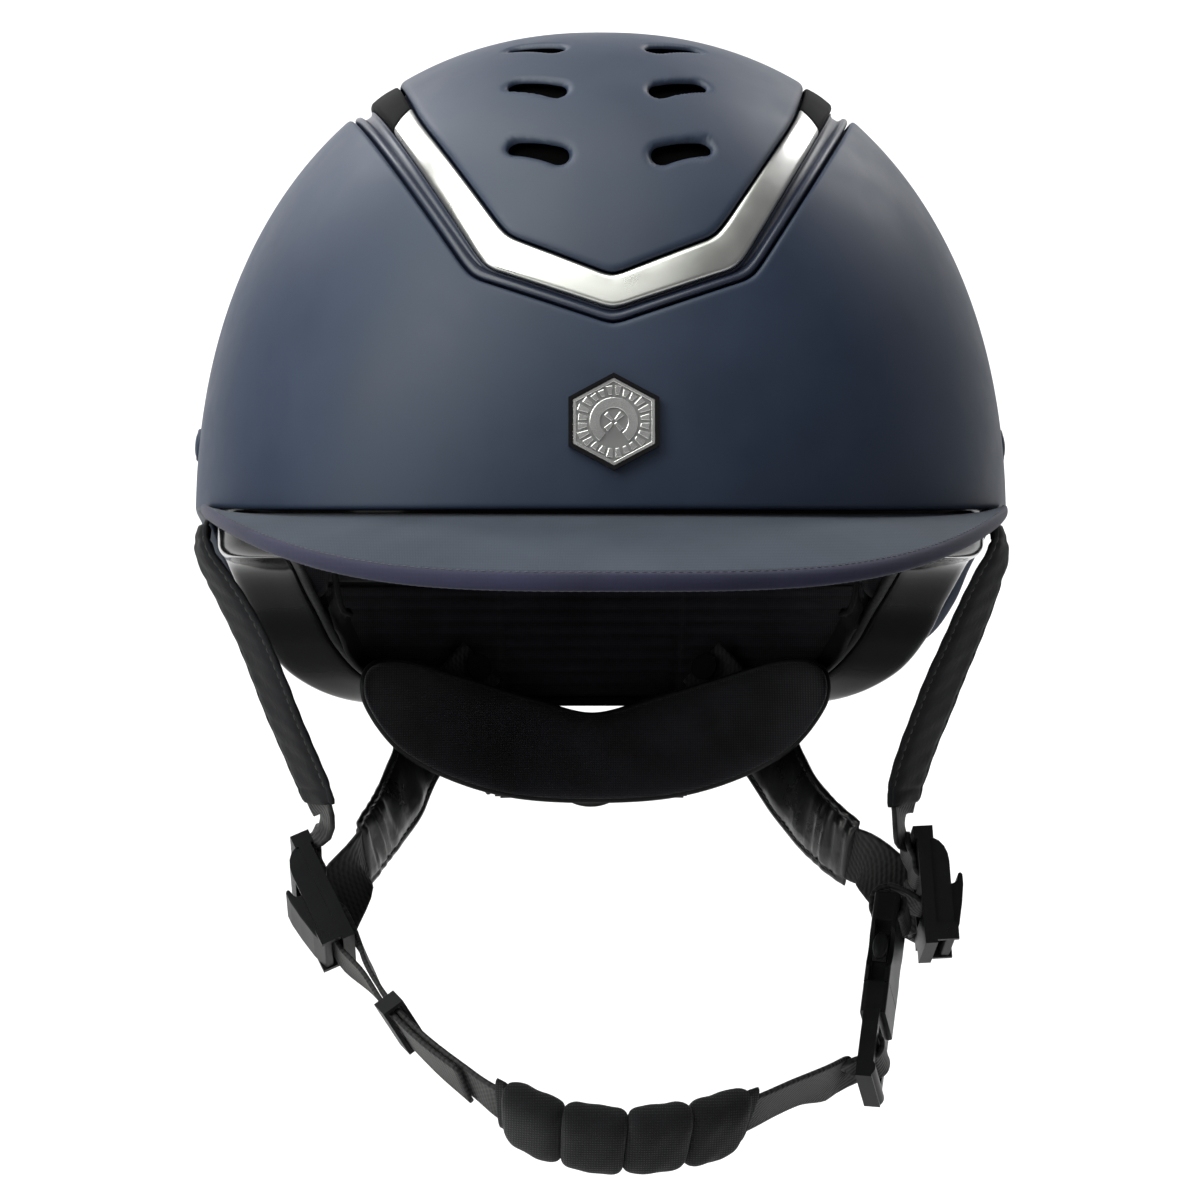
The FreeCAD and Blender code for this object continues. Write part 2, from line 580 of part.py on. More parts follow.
def dial_pinion():
    pitch_a = math.pi / PINION_TEETH * 0.46
    base = PINION_PITCH_R * math.cos(math.radians(20))
    roll = math.sqrt((PINION_PITCH_R / base) ** 2 - 1)
    half = pitch_a + roll - math.atan(roll)
    points = []
    for i in range(PINION_TEETH):
        turn = 2 * math.pi * i / PINION_TEETH + math.pi / 2
        for r, a in involute_tooth(base, PINION_PITCH_R + GEAR_ADD, PINION_PITCH_R - GEAR_DED, half):
            points.append(Vector(r * math.cos(turn + a), RACK_Y[0], DIAL_Z + r * math.sin(turn + a)))
    face = Part.Face(Part.makePolygon(points + [points[0]]))
    return face.extrude(Vector(0, RACK_Y[1] - RACK_Y[0], 0)).cut(dial_axis_cylinder(1.25, 80, 120))


def rack(side):
    """side +1: the rack above the pinion, to the wearer's left; -1: the one below, to the right."""
    pitch = 2 * math.pi * PINION_PITCH_R / PINION_TEETH
    tooth = pitch * 0.46
    slope = math.tan(math.radians(20))
    back = GEAR_DED + RACK_H
    first, count = -2, 8
    points = [(-9.0, back), (-9.0, GEAR_DED)]
    for k in range(first, first + count):
        mid = (k + 0.5) * pitch
        points += [(mid - tooth / 2 - GEAR_DED * slope, GEAR_DED),
                   (mid - tooth / 2 + GEAR_ADD * slope, -GEAR_ADD),
                   (mid + tooth / 2 - GEAR_ADD * slope, -GEAR_ADD),
                   (mid + tooth / 2 + GEAR_DED * slope, GEAR_DED)]
    points += [(HOUSING_X, GEAR_DED), (HOUSING_X, back)]
    place = [Vector(side * x, RACK_Y[0], DIAL_Z + side * (PINION_PITCH_R + h)) for x, h in points]
    return Part.Face(Part.makePolygon(place + [place[0]])).extrude(Vector(0, RACK_Y[1] - RACK_Y[0], 0))


def arm_points(side):
    level = PINION_PITCH_R + GEAR_DED + RACK_H / 2.0
    points = []
    for i, (x, z, off) in enumerate(ARM_ROUTE):
        low = ARM_KNEE_DROP if i == 1 and side < 0 else 0.0
        p = cradle_point(x, z - low, off)
        points.append(Vector(side * x, p.y, z - low))
    first = Vector(side * (HOUSING_X + 1.2), (RACK_Y[0] + RACK_Y[1]) / 2.0 - 0.6, DIAL_Z + side * level)
    return [first] + points[1:]


def arm_path(side):
    """The arm's centre line and the direction of its width at each point."""
    up = Vector(side * 0.35, 0, 1)
    sides = [Vector(0, 0, 1)] + [up] * 5 + [Vector(side * 0.1, -0.5, 1)] + [Vector(0, -0.9, 0.5)] * 3
    return arm_points(side), sides


def cradle_arm(side):
    return strap(*arm_path(side), ARM_W, ARM_T).cut(arm_stud(side, ARM_STUD_R + BORE_PLAY))


def arm_stud(side, r):
    end = arm_points(side)[-2]
    return Part.makeCylinder(r, 20, Vector(end.x - side * 2.2, end.y, end.z), Vector(side, 0, 0))


def arm_studs():
    """The two snap studs that hold the arms' ends to the liner."""
    made = []
    for s in (-1, 1):
        end = arm_points(s)[-2]
        head = Part.makeCylinder(ARM_HEAD_R, 1.0, Vector(end.x - s * 2.6, end.y, end.z), Vector(s, 0, 0))
        shank = Part.makeCylinder(ARM_STUD_R, 17.0, Vector(end.x - s * 1.6, end.y, end.z), Vector(s, 0, 0))
        made.append(head.fuse(shank).removeSplitter())
    return all_of(made)


# ---- harness ---------------------------------------------------------------------------------------------
# side +1 is the wearer's left (+X). Each strap has its own route, because the straps hang unevenly.
FRONT_ROUTE = {
    1: [(103.4, -8, 30), (104.1, -8, 23), (104.8, -8, 12), (105.1, -8, 7.5), (105.15, -8, 4.8),
        (107.2, -8, 1.4), (108.6, -8, -2.4), (108.3, -8, -7.5), (106.0, -8, -13), (102.6, -7, -20),
        (98.5, -6, -30), (93.9, -4, -41), (90.6, -2, -50), (87.2, 0, -59), (84.4, 1.5, -68),
        (83.2, 2.5, -75), (83.0, 3.0, -79)],
    -1: [(-103.4, -8, 30), (-104.1, -8, 23), (-104.8, -8, 12), (-105.1, -8, 7.5), (-105.15, -8, 4.8),
         (-107.2, -8, 1.4), (-108.6, -8, -2.4), (-107.9, -8, -7.5), (-105.0, -8, -13), (-100.9, -7, -20),
         (-95.4, -6, -30), (-90.4, -4, -41), (-86.6, -2, -50), (-82.8, 0, -59), (-79.0, 1.5, -68),
         (-76.6, 2.5, -74.5), (-75.4, 3.0, -79)],
}
FRONT_TWIST = [0, 0, 0, 0, 0, 0, 0, 2, 8, 14, 20, 24, 26, 27, 27, 24, 16]     # degrees, rear edge outwards
SLEEVE_FROM, SLEEVE_TO = 5, 15

REAR_ROUTE = {
    1: [(32.0, 88.0, -37), (36.2, 85.2, -41.5), (40.0, 81.9, -46.5), (43.2, 80.6, -51), (46.6, 78, -56),
        (51, 73, -63), (55, 64, -71), (60, 53, -79), (66, 41, -85.6), (71.5, 33, -90), (77, 28, -93)],
    -1: [(-32.0, 88.0, -37), (-36.2, 85.2, -41.5), (-40.0, 81.9, -46.5), (-43.2, 80.6, -51),
         (-46.6, 78, -56), (-50.4, 73, -63), (-53, 64, -71), (-57.5, 53, -79), (-62, 41, -85.6),
         (-65.2, 33, -90), (-67.5, 28, -93.4)],
}
REAR_SIDES = [(0.8, -0.25, 0.5), (0.78, -0.28, 0.52), (0.75, -0.28, 0.56), (0.7, -0.26, 0.62),
              (0.62, -0.25, 0.7), (0.5, -0.22, 0.82), (0.35, -0.2, 0.92), (0.22, -0.2, 0.97),
              (0.12, -0.2, 1), (0.06, -0.2, 1), (0.0, -0.15, 1)]
REAR_SLEEVE_FROM, REAR_SLEEVE_TO = 4, 9

DIVIDER_AT = {1: Vector(89.0, 4, -99.8), -1: Vector(-75.2, 4, -100.8)}
DIVIDER_DOWN = {1: Vector(0.05, -0.30, -0.95), -1: Vector(0.42, -0.36, -0.83)}
DIVIDER_T, DIVIDER_H = 3.4, 33.0
DIVIDER_FRONT, DIVIDER_BACK = -11.5, 17.0
FRONT_SLOT_Z = (1.6, 6.6)
CHIN_SLOT_Z = (-7.6, -2.0)
REAR_SLOT_Y = (10.4, 13.7)
REAR_SLOT_Z = 8.6
LEVER_PIN = (5.6, -13.4)        # outwards and up from the divider's middle
LEVER_KNUCKLE = 2.0


def divider_axes(side):
    up = (DIVIDER_DOWN[side] * -1).normalize()
    out = Vector(side, 0, 0)
    out = (out - up * out.dot(up)).normalize()
    return out, up.cross(out) * side, up


def at_divider(side, out, back, up):
    o, b, u = divider_axes(side)
    return DIVIDER_AT[side] + o * out + b * back + u * up


def on_divider(side, shape):
    out, _, up = divider_axes(side)
    return placed(shape, DIVIDER_AT[side], out, up)


def slab(x0, x1, y0, y1, z0, z1, side):
    """A box in a divider's own axes, given from front to back whichever side it is on."""
    low, high = (y0, y1) if side > 0 else (-y1, -y0)
    return Part.makeBox(x1 - x0, high - low, z1 - z0, Vector(x0, low, z0))


def divider_body(side):
    t, h = DIVIDER_T / 2.0, DIVIDER_H / 2.0
    body = slab(-t, t, DIVIDER_FRONT, DIVIDER_BACK, -h, h, side)
    block = slab(-t - 1, t + 1, DIVIDER_FRONT, -DIVIDER_FRONT, h - 3.6, h, side)
    lug_x = LEVER_PIN[0] + 2.0
    lugs = [slab(t - 0.2, lug_x, y, y + 1.7, LEVER_PIN[1] - 2.2, LEVER_PIN[1] + 2.6, side)
            for y in (DIVIDER_FRONT, -DIVIDER_FRONT - 1.7)]
    body = body.fuse([block] + lugs)
    slots = [slab(-9, 9, -8.4, 8.4, z0, z1, side) for z0, z1 in (FRONT_SLOT_Z, CHIN_SLOT_Z)]
    slots.append(slab(-9, 9, REAR_SLOT_Y[0], REAR_SLOT_Y[1], -REAR_SLOT_Z, REAR_SLOT_Z, side))
    pin = Part.makeCylinder(1.12, 40, Vector(LEVER_PIN[0], -20, LEVER_PIN[1]), Vector(0, 1, 0))
    corners = [slab(-9, 9, DIVIDER_BACK - 5, 30, z, z + 20, side)
               for z in (REAR_SLOT_Z + 3.2, -REAR_SLOT_Z - 23.2)]
    return on_divider(side, body.cut(all_of(slots + corners)).cut(pin).removeSplitter())


def divider_lever(side):
    """The cam lever, hinged at the divider's lower end, its finger tab at the top."""
    px, pz = LEVER_PIN
    profile = [(px - 1.6, pz + 1.2), (3.7, -3.0), (3.9, 0.0), (7.6, 1.8), (8.2, 0.9), (7.3, -4.0),
               (px + 1.9, pz + 1.0)]
    flap = Part.Face(Part.makePolygon([Vector(x, -9.5, z) for x, z in profile + profile[:1]]))
    flap = flap.extrude(Vector(0, 19, 0))
    knuckle = Part.makeCylinder(LEVER_KNUCKLE, 19, Vector(px, -9.5, pz), Vector(0, 1, 0))
    pin = Part.makeCylinder(1.14, 40, Vector(px, -20, pz), Vector(0, 1, 0))
    return on_divider(side, flap.fuse(knuckle).cut(pin).removeSplitter())


def divider_pin(side):
    return on_divider(side, Part.makeCylinder(1.1, -2 * DIVIDER_FRONT - 0.1, Vector(
        LEVER_PIN[0], DIVIDER_FRONT + 0.05, LEVER_PIN[1]), Vector(0, 1, 0)))


def twisted(degrees, side):
    return [Vector(side * math.sin(math.radians(a)), math.cos(math.radians(a)), 0) for a in degrees]


def front_strap_path(side):
    points = vecs(FRONT_ROUTE[side])
    sides = twisted(FRONT_TWIST, side)
    back = divider_axes(side)[1]
    for out, up in [(-4.0, 17.4), (-3.9, 12.4), (-2.6, 8.8), (-2.5, 5.6), (-1.2, 3.9), (1.2, 3.9),
                    (2.5, 5.6), (2.7, 8.2), (2.7, 11.6)]:
        points.append(at_divider(side, out, 0, up))
        sides.append(back)
    return points, sides


def front_webbing(side):
    points, sides = front_strap_path(side)
    return strap(points, sides, WEB_W, WEB_T).cut(rivet_hole(side))


def front_sleeve(side):
    points, sides = front_strap_path(side)
    points, sides = points[SLEEVE_FROM:SLEEVE_TO + 1], sides[SLEEVE_FROM:SLEEVE_TO + 1]
    tube = strap(points, sides, SLEEVE_W, SLEEVE_T - 0.6)
    pad = strap(points[2:], sides[2:], SLEEVE_W - 0.2, SLEEVE_T)
    return tube.fuse(pad).cut(strap(points, sides, WEB_W + 0.4, WEB_T + 0.3)).removeSplitter()


def rear_strap_path(side):
    points = vecs(REAR_ROUTE[side])
    sides = [Vector(side * x, y, z) for x, y, z in REAR_SIDES]
    up = divider_axes(side)[2]
    for out, back in [(-0.4, 23), (-2.7, 17.6), (-2.7, 13.6), (-0.2, 12.0), (2.6, 13.4), (2.8, 17.4),
                      (1.6, 22.0)]:
        points.append(at_divider(side, out, back, 0))
        sides.append(up)
    return points, sides


def rear_webbing(side):
    points, sides = rear_strap_path(side)
    return strap(points, sides, WEB_W, WEB_T).cut(rear_anchor(side, 1.7, 1.5, 9.0))


def rear_sleeve(side):
    points, sides = rear_strap_path(side)
    part = slice(REAR_SLEEVE_FROM, REAR_SLEEVE_TO + 1)
    tube = strap(points[part], sides[part], SLEEVE_W, SLEEVE_T)
    return tube.cut(strap(points[part], sides[part], WEB_W + 0.4, WEB_T + 0.3))


def rear_anchor(side, r, start, length):
    """A cylinder through a rear strap's upper end, into the liner."""
    away = Vector(side * 0.48, 0.82, -0.31).normalize()
    at = Vector(*REAR_ROUTE[side][0]) + Vector(side * 1.6, -1.2, -2.0)
    return Part.makeCylinder(r, length, at - away * start, away)


def rear_anchors():
    """The two flat studs that hold the rear straps to the liner, behind the head."""
    return all_of([rear_anchor(s, 4.0, 2.5, 1.0).fuse(rear_anchor(s, 1.6, 1.5, 12.0)).removeSplitter()
                   for s in (-1, 1)])


# The chin strap, from the right divider under the chin to the buckle.
CHIN_ROUTE = [(-64.4, -2.3, -115.0), (-61.0, -12.0, -122.0), (-54.5, -24.0, -130.5),
              (-45.5, -36.0, -138.8), (-35.5, -46.0, -146.2), (-28.0, -52.5, -151.2),
              (-15.0, -58.5, -157.2), (0.0, -61.0, -160.2), (13.0, -60.0, -160.2),
              (26.0, -56.0, -158.0), (38.0, -49.5, -154.6), (48.0, -41.0, -151.0),
              (56.5, -32.0, -148.6)]
CHIN_SIDES = [(0.15, 0.85, -0.45), (0.25, 0.8, -0.5), (0.3, 0.75, -0.55), (0.3, 0.7, -0.6),
              (0.25, 0.7, -0.65), (0.2, 0.7, -0.7), (0.1, 0.72, -0.7), (0, 0.72, -0.7),
              (0, 0.72, -0.7), (-0.1, 0.72, -0.7), (-0.2, 0.7, -0.7), (-0.25, 0.7, -0.65),
              (-0.2, 0.75, -0.6)]
CHIN_PAD_FROM, CHIN_PAD_TO = 5, 10
CHIN_PAD_W, CHIN_PAD_T = 24.0, 10.0
TAIL_POINTS = 5

def buckle_axes():
    up = (BUCKLE_DOWN * -1).normalize()
    out = (BUCKLE_OUT - up * BUCKLE_OUT.dot(up)).normalize()
    return out, up.cross(out), up


def at_buckle(out, back, up):
    o, b, u = buckle_axes()
    return BUCKLE_TOP + o * out + b * back + u * up


def on_buckle(shape):
    out, _, up = buckle_axes()
    return placed(shape, BUCKLE_TOP, out, up)


def brick(hx, hy, z0, z1):
    return Part.makeBox(2 * hx, 2 * hy, z1 - z0, Vector(-hx, -hy, z0))


def buckle_socket():
    """Two plates joined at the webbing end and along the middle of each face, open at the sides."""
    hx, hy = SOCKET_T / 2.0, SOCKET_W / 2.0
    body = brick(hx, hy, -SOCKET_L, 0)
    body = body.makeFillet(1.6, [e for e in body.Edges if abs(e.tangentAt(e.FirstParameter).z) > 0.9])
    room = brick(hx - 1.3, hy + 5, -SOCKET_L - 1, SOCKET_ROOM_Z)
    slot = brick(hx + 5, 8.3, SOCKET_SLOT_Z[0], SOCKET_SLOT_Z[1])
    waist = [Part.makeCylinder(9.0, 20, Vector(-10, s * (hy + 6.6), -16), Vector(1, 0, 0)) for s in (-1, 1)]
    return on_buckle(body.cut(room).cut(slot).cut(all_of(waist)))


def buckle_prong(end):
    """One springy arm of the plug, with the thumb pad that shows at the socket's side."""
    y0, y1 = PRONG_Y
    arm = Part.makeBox(3.8, y1 - y0, PRONG_TIP_Z - PRONG_PIVOT_Z, Vector(-1.9, y0, PRONG_PIVOT_Z))
    pad = Part.makeCylinder(6.2, 3.8, Vector(-1.9, 4.3, sum(PRONG_PAD_Z) / 2.0), Vector(1, 0, 0))
    pad = pad.common(Part.makeBox(3.8, 8, PRONG_PAD_Z[1] - PRONG_PAD_Z[0],
                                  Vector(-1.9, y1 - 0.5, PRONG_PAD_Z[0])))
    root = Part.makeCylinder(1.5, 3.8, Vector(-1.9, (y0 + y1) / 2.0, PRONG_PIVOT_Z), Vector(1, 0, 0))
    prong = arm.fuse([pad, root]).removeSplitter()
    if end < 0:
        prong = prong.mirror(Vector(0, 0, 0), Vector(0, 1, 0))
    return on_buckle(prong)


def buckle_plug():
    """The plug: shoulder, middle tongue and the ladder frame that the chin webbing threads."""
    z0, z1 = SHOULDER_Z
    shoulder = brick(SOCKET_T / 2.0, SOCKET_W / 2.0 - 0.3, z0, z1)
    shoulder = shoulder.makeFillet(
        1.6, [e for e in shoulder.Edges if abs(e.tangentAt(e.FirstParameter).z) > 0.9])
    tongue = brick(1.9, 2.3, z1 - 1, PRONG_TIP_Z)
    notches = [Part.makeBox(4.2, 4.0, 4.6, Vector(-2.1, s * 6.8 - 2.0, z1 - 4.5)) for s in (-1, 1)]
    frame = brick(2.2, 11.2, LADDER_END_Z, z0 + 0.5)
    foot = Part.makeCylinder(2.6, 22.4, Vector(0.4, -11.2, LADDER_END_Z + 2.6), Vector(0, 1, 0))
    slots = [brick(9, 8.0, a, b) for a, b in ((-42.2, -38.2), (-49.0, -44.6))]
    return on_buckle(shoulder.cut(all_of(notches)).fuse([tongue, frame, foot]).cut(all_of(slots))
                     .removeSplitter())


def chin_path():
    """Centre line of the chin webbing: its tail, round the divider's bar, the chin, the ladder frame."""
    out, back, _ = divider_axes(-1)
    main, sides = vecs(CHIN_ROUTE), vecs(CHIN_SIDES)
    tail = [p + n * -1.8 for p, _, n in frame_along(main, sides)[1:TAIL_POINTS]]
    points, widths = list(reversed(tail)), list(reversed(sides[1:TAIL_POINTS]))
    for o, u in [(2.6, -17.2), (2.7, -9.5), (2.5, -6.6), (1.2, -4.6), (-1.2, -4.6), (-2.5, -6.6),
                 (-2.8, -9.5)]:
        points.append(at_divider(-1, o, 0, u))
        widths.append(back)
    points += main
    widths += sides
    b = buckle_axes()[1]
    for o, u in [(-8.2, -50.8), (-4.6, -48.6), (-2.0, -47.4), (1.4, -46.9), (3.2, -45.0), (3.2, -42.0),
                 (1.4, -40.2), (-1.4, -40.0)]:
        points.append(at_buckle(o, 0, u))
        widths.append(b)
    return points, widths


def chin_webbing():
    return strap(*chin_path(), CHIN_WEB_W, WEB_T)


def chin_pad():
    """The padded sleeve under the chin, in four soft lobes."""
    points = vecs(CHIN_ROUTE)[CHIN_PAD_FROM:CHIN_PAD_TO + 1]
    sides = vecs(CHIN_SIDES)[CHIN_PAD_FROM:CHIN_PAD_TO + 1]
    body = strap(points, sides, CHIN_PAD_W, CHIN_PAD_T)
    return body.cut(strap(points, sides, CHIN_WEB_W + 0.4, WEB_T + 0.3))


def strap_keeper():
    """The loop that holds the chin webbing's tail against the strap."""
    frame = frame_along(vecs(CHIN_ROUTE), vecs(CHIN_SIDES))[2]
    ends = frame_along(vecs(CHIN_ROUTE), vecs(CHIN_SIDES))[3]
    along = (ends[0] - frame[0]).normalize()
    p, w, n = frame
    made = []
    for half_w, half_t in ((CHIN_WEB_W / 2.0 + 1.9, 3.2), (CHIN_WEB_W / 2.0 + 0.7, 2.0)):
        mid = p - n * 0.9
        corners = [mid + w * (a * half_w) + n * (b * half_t)
                   for a, b in ((-1, -1), (1, -1), (1, 1), (-1, 1), (-1, -1))]
        made.append(Part.Face(Part.makePolygon(corners)).extrude(along * 5.0))
    return made[0].cut(made[1])


def buckle_loop():
    """The sewn webbing loop between the left divider's chin bar and the buckle's socket."""
    back, b = divider_axes(1)[1], buckle_axes()[1]
    points = [at_divider(1, o, 0, u) for o, u in
              [(2.7, -12.5), (2.7, -9.5), (2.5, -6.6), (1.2, -4.6), (-1.4, -3.9)]]
    widths = [back] * len(points)
    for o, u in [(2.6, 2.9), (0.0, 3.4), (-2.8, 2.6), (-4.4, 0.4), (-4.5, -2.2), (-4.0, -4.4),
                 (-2.4, -5.2), (2.4, -5.2), (4.0, -4.4), (4.5, -2.2), (4.2, 0.4)]:
        points.append(at_buckle(o, 0, u))
        widths.append(b)
    return strap(points, widths, WEB_W - 1.0, WEB_T)


# ---- build -----------------------------------------------------------------------------------------------
def build():
    os.makedirs("parts", exist_ok=True)
    save(outer_shell(), "outer_shell")
    save(crown_panel(), "crown_panel")
    save(panel_surround(), "panel_surround")
    bright, black = trims()
    save(bright, "chevron_trim")
    save(black, "rear_trim")
    save(vent_mesh(), "vent_mesh")
    save(badge_bezel(), "badge_bezel")
    save(badge_plate(), "badge_plate")
    save(peak_layer(0.0, PEAK_SKIN), "peak_cover")
    save(peak_layer(PEAK_SKIN + 0.02, PEAK_EDGE_T - PEAK_LINING - 0.02), "peak_core")
    save(peak_layer(PEAK_EDGE_T - PEAK_LINING, PEAK_EDGE_T), "peak_lining")
    save(peak_layer(0.0, PEAK_EDGE_T, v1=1.0), "peak_binding")
    save(lower_rim(), "lower_rim")
    save(rim_piping(), "rim_piping")
    save(impact_liner(), "impact_liner")
    save(comfort_headband(), "comfort_headband")
    save(crown_pad(), "crown_pad")
    save(side_rivets(), "side_rivets")
    save(rivet_washers(), "rivet_washers")
    save(nape_pad(), "nape_pad")
    save(cradle_housing(), "cradle_housing")
    save(cradle_cover(), "cradle_cover")
    save(cover_screws(), "cover_screws")
    save(dial_knob(), "dial_knob")
    save(dial_pinion(), "dial_pinion")
    save(dial_screw(), "dial_screw")
    save(arm_studs(), "arm_studs")
    save(rear_anchors(), "rear_anchors")
    for side, name in ((1, "left"), (-1, "right")):
        save(rack(side), "rack_" + name)
        save(cradle_arm(side), "cradle_arm_" + name)
        save(front_webbing(side), "front_webbing_" + name)
        save(front_sleeve(side), "front_sleeve_" + name)
        save(rear_webbing(side), "rear_webbing_" + name)
        save(rear_sleeve(side), "rear_sleeve_" + name)
        save(divider_body(side), "divider_body_" + name)
        save(divider_lever(side), "divider_lever_" + name)
        save(divider_pin(side), "divider_pin_" + name)
    save(chin_webbing(), "chin_webbing")
    save(chin_pad(), "chin_pad")
    save(strap_keeper(), "strap_keeper")
    save(buckle_loop(), "buckle_loop")
    save(buckle_socket(), "buckle_socket")
    save(buckle_plug(), "buckle_plug")
    save(buckle_prong(-1), "buckle_prong_front")
    save(buckle_prong(1), "buckle_prong_rear")


build()
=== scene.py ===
import math

import bmesh
import bpy
import numpy as np
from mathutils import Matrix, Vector


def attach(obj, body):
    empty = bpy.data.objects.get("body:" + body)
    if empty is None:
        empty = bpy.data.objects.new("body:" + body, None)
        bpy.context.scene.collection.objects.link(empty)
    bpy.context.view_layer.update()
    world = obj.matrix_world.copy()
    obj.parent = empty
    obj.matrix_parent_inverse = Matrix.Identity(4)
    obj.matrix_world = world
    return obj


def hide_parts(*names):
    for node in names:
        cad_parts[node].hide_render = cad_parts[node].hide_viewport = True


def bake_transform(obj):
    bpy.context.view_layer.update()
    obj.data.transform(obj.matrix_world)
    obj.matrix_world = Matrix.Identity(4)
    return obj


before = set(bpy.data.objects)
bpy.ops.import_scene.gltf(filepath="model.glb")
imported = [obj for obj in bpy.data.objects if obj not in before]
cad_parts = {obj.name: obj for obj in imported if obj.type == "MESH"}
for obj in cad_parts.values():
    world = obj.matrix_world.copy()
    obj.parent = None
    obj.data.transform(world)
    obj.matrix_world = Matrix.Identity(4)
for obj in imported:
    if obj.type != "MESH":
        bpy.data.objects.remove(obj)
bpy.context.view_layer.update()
scene = bpy.context.scene
scene.view_settings.view_transform = "Standard"
MM = 0.001
TAU = 2 * math.pi

# ---- camera and light
CAM_BACK, CAM_HEIGHT, CAM_AZIMUTH, CAM_FOCAL = 1.400, -0.0190, math.radians(-1.6), 153.7
cam = bpy.data.objects.new("view_camera", bpy.data.cameras.new("view_camera"))
scene.collection.objects.link(cam)
cam.data.lens, cam.data.sensor_width = CAM_FOCAL, 36.0
cam.location = (CAM_BACK * math.sin(CAM_AZIMUTH), -CAM_BACK * math.cos(CAM_AZIMUTH), CAM_HEIGHT)
cam.rotation_euler = (math.pi / 2, 0, CAM_AZIMUTH)
scene.camera = cam

WARM, WHITE = (0.97, 1.0, 0.93), (1.0, 1.0, 1.0)
# name: place, aim, (width, height), power in watts, colour
LIGHTS = {
    "key": ((-1.00, -0.80, 0.90), (0, 0, 0.04), (0.8, 0.9), 19.0, WARM),
    "top": ((-0.36, -0.30, 1.42), (0, 0, 0.08), (1.2, 0.9), 19.0, WARM),
    "front_top": ((-0.25, -1.25, 1.05), (0, 0, 0.04), (1.5, 0.75), 4.4, WARM),
    "left_card": ((-1.35, -0.55, 0.25), (0, 0, 0.03), (0.5, 0.9), 6.0, WARM),
    "side_left": ((-1.1, -0.15, -0.35), (0, 0, -0.03), (0.25, 0.5), 1.5, WHITE),
    "side_right": ((1.1, -0.25, -0.30), (0, 0, -0.03), (0.14, 0.45), 0.06, WHITE),
    "backdrop_left": ((-1.3, 1.3, 1.6), (-0.2, 2.6, -0.1), (1.6, 0.8), 53.0, WHITE),
    "backdrop_right": ((1.3, 1.3, 1.6), (0.2, 2.6, -0.1), (1.6, 0.8), 53.0, WHITE),
}
for name, (at, aim, (width, height), power, colour) in LIGHTS.items():
    light = bpy.data.lights.new(name, "AREA")
    light.shape, light.size, light.size_y = "RECTANGLE", width, height
    light.energy, light.color = power, colour
    lamp = bpy.data.objects.new(name, light)
    scene.collection.objects.link(lamp)
    lamp.location = at
    lamp.rotation_euler = (Vector(aim) - Vector(at)).to_track_quat("-Z", "Y").to_euler()

WORLD_STRENGTH = 0.22
world = bpy.data.worlds.new("studio")
world.use_nodes = True
world.node_tree.nodes["Background"].inputs[0].default_value = (1.0, 1.0, 1.0, 1.0)
world.node_tree.nodes["Background"].inputs[1].default_value = WORLD_STRENGTH
scene.world = world


# ---- materials
def shader(m):
    return m.node_tree.nodes["Principled BSDF"]


def new_material(name, colour, rough, metallic=0.0, coat=0.0, coat_rough=0.1, sheen=0.0, specular=0.5):
    m = bpy.data.materials.new(name)
    m.use_nodes = True
    for key, value in (("Base Color", (*colour, 1)), ("Roughness", rough), ("Metallic", metallic),
                       ("Coat Weight", coat), ("Coat Roughness", coat_rough), ("Sheen Weight", sheen),
                       ("IOR", 1.45), ("Specular IOR Level", specular)):
        shader(m).inputs[key].default_value = value
    return m


def node(m, kind, **values):
    n = m.node_tree.nodes.new(kind)
    for key, value in values.items():
        if hasattr(n, key):
            setattr(n, key, value)
        else:
            n.inputs[key.replace("_", " ")].default_value = value
    return n


def join(m, a, out, b, into):
    m.node_tree.links.new(a.outputs[out], b.inputs[into])


def texture(m, kind, coords="Object", **values):
    """A node that reads the object's own coordinates, or its UV map."""
    n = node(m, kind, **values)
    join(m, node(m, "ShaderNodeTexCoord"), coords, n, "Vector")
    return n


def ramp(m, source, out, low, high, a, b):
    """Maps source from low..high to the value or colour a..b."""
    r = node(m, "ShaderNodeValToRGB")
    for stop, position, value in zip(r.color_ramp.elements, (low, high), (a, b)):
        stop.position = position
        stop.color = (*value, 1) if isinstance(value, tuple) else (value, value, value, 1)
    join(m, source, out, r, "Fac")
    return r


def vary(m, scale, colours, roughs, detail=3.0):
    """Broad mottling of colour and roughness."""
    n = texture(m, "ShaderNodeTexNoise", Scale=scale, Detail=detail, Roughness=0.6)
    for (a, b), into in ((colours, "Base Color"), (roughs, "Roughness")):
        join(m, ramp(m, n, "Fac", 0.3, 0.7, a, b), "Color", shader(m), into)


def bump_from(m, source, out, strength, distance, chain=None):
    bump = node(m, "ShaderNodeBump", Strength=strength, Distance=distance)
    join(m, source, out, bump, "Height")
    if chain is not None:
        join(m, chain, "Normal", bump, "Normal")
    join(m, bump, "Normal", shader(m), "Normal")
    return bump


def fine_noise(m, scale, strength, distance, chain=None, detail=2.0):
    n = texture(m, "ShaderNodeTexNoise", Scale=scale, Detail=detail, Roughness=0.6)
    bump_from(m, n, "Fac", strength, distance, chain)


def weighted(m, a, out, share, b):
    """a times share, plus b."""
    add = node(m, "ShaderNodeMath", operation="MULTIPLY_ADD")
    add.inputs[1].default_value = share
    join(m, a, out, add, 0)
    join(m, b, "Fac", add, 2)
    return add


def painted(name, dark, light, rough, coat=0.0, grain=1500.0, grain_strength=0.12, specular=0.5):
    """Moulded or painted plastic: faint mottling, fine grain, a little wear in the roughness."""
    m = new_material(name, light, rough, coat=coat, coat_rough=0.12, specular=specular)
    vary(m, 38.0, (dark, light), (rough * 0.9, rough * 1.12))
    fine_noise(m, grain, grain_strength, 0.00008)
    return m


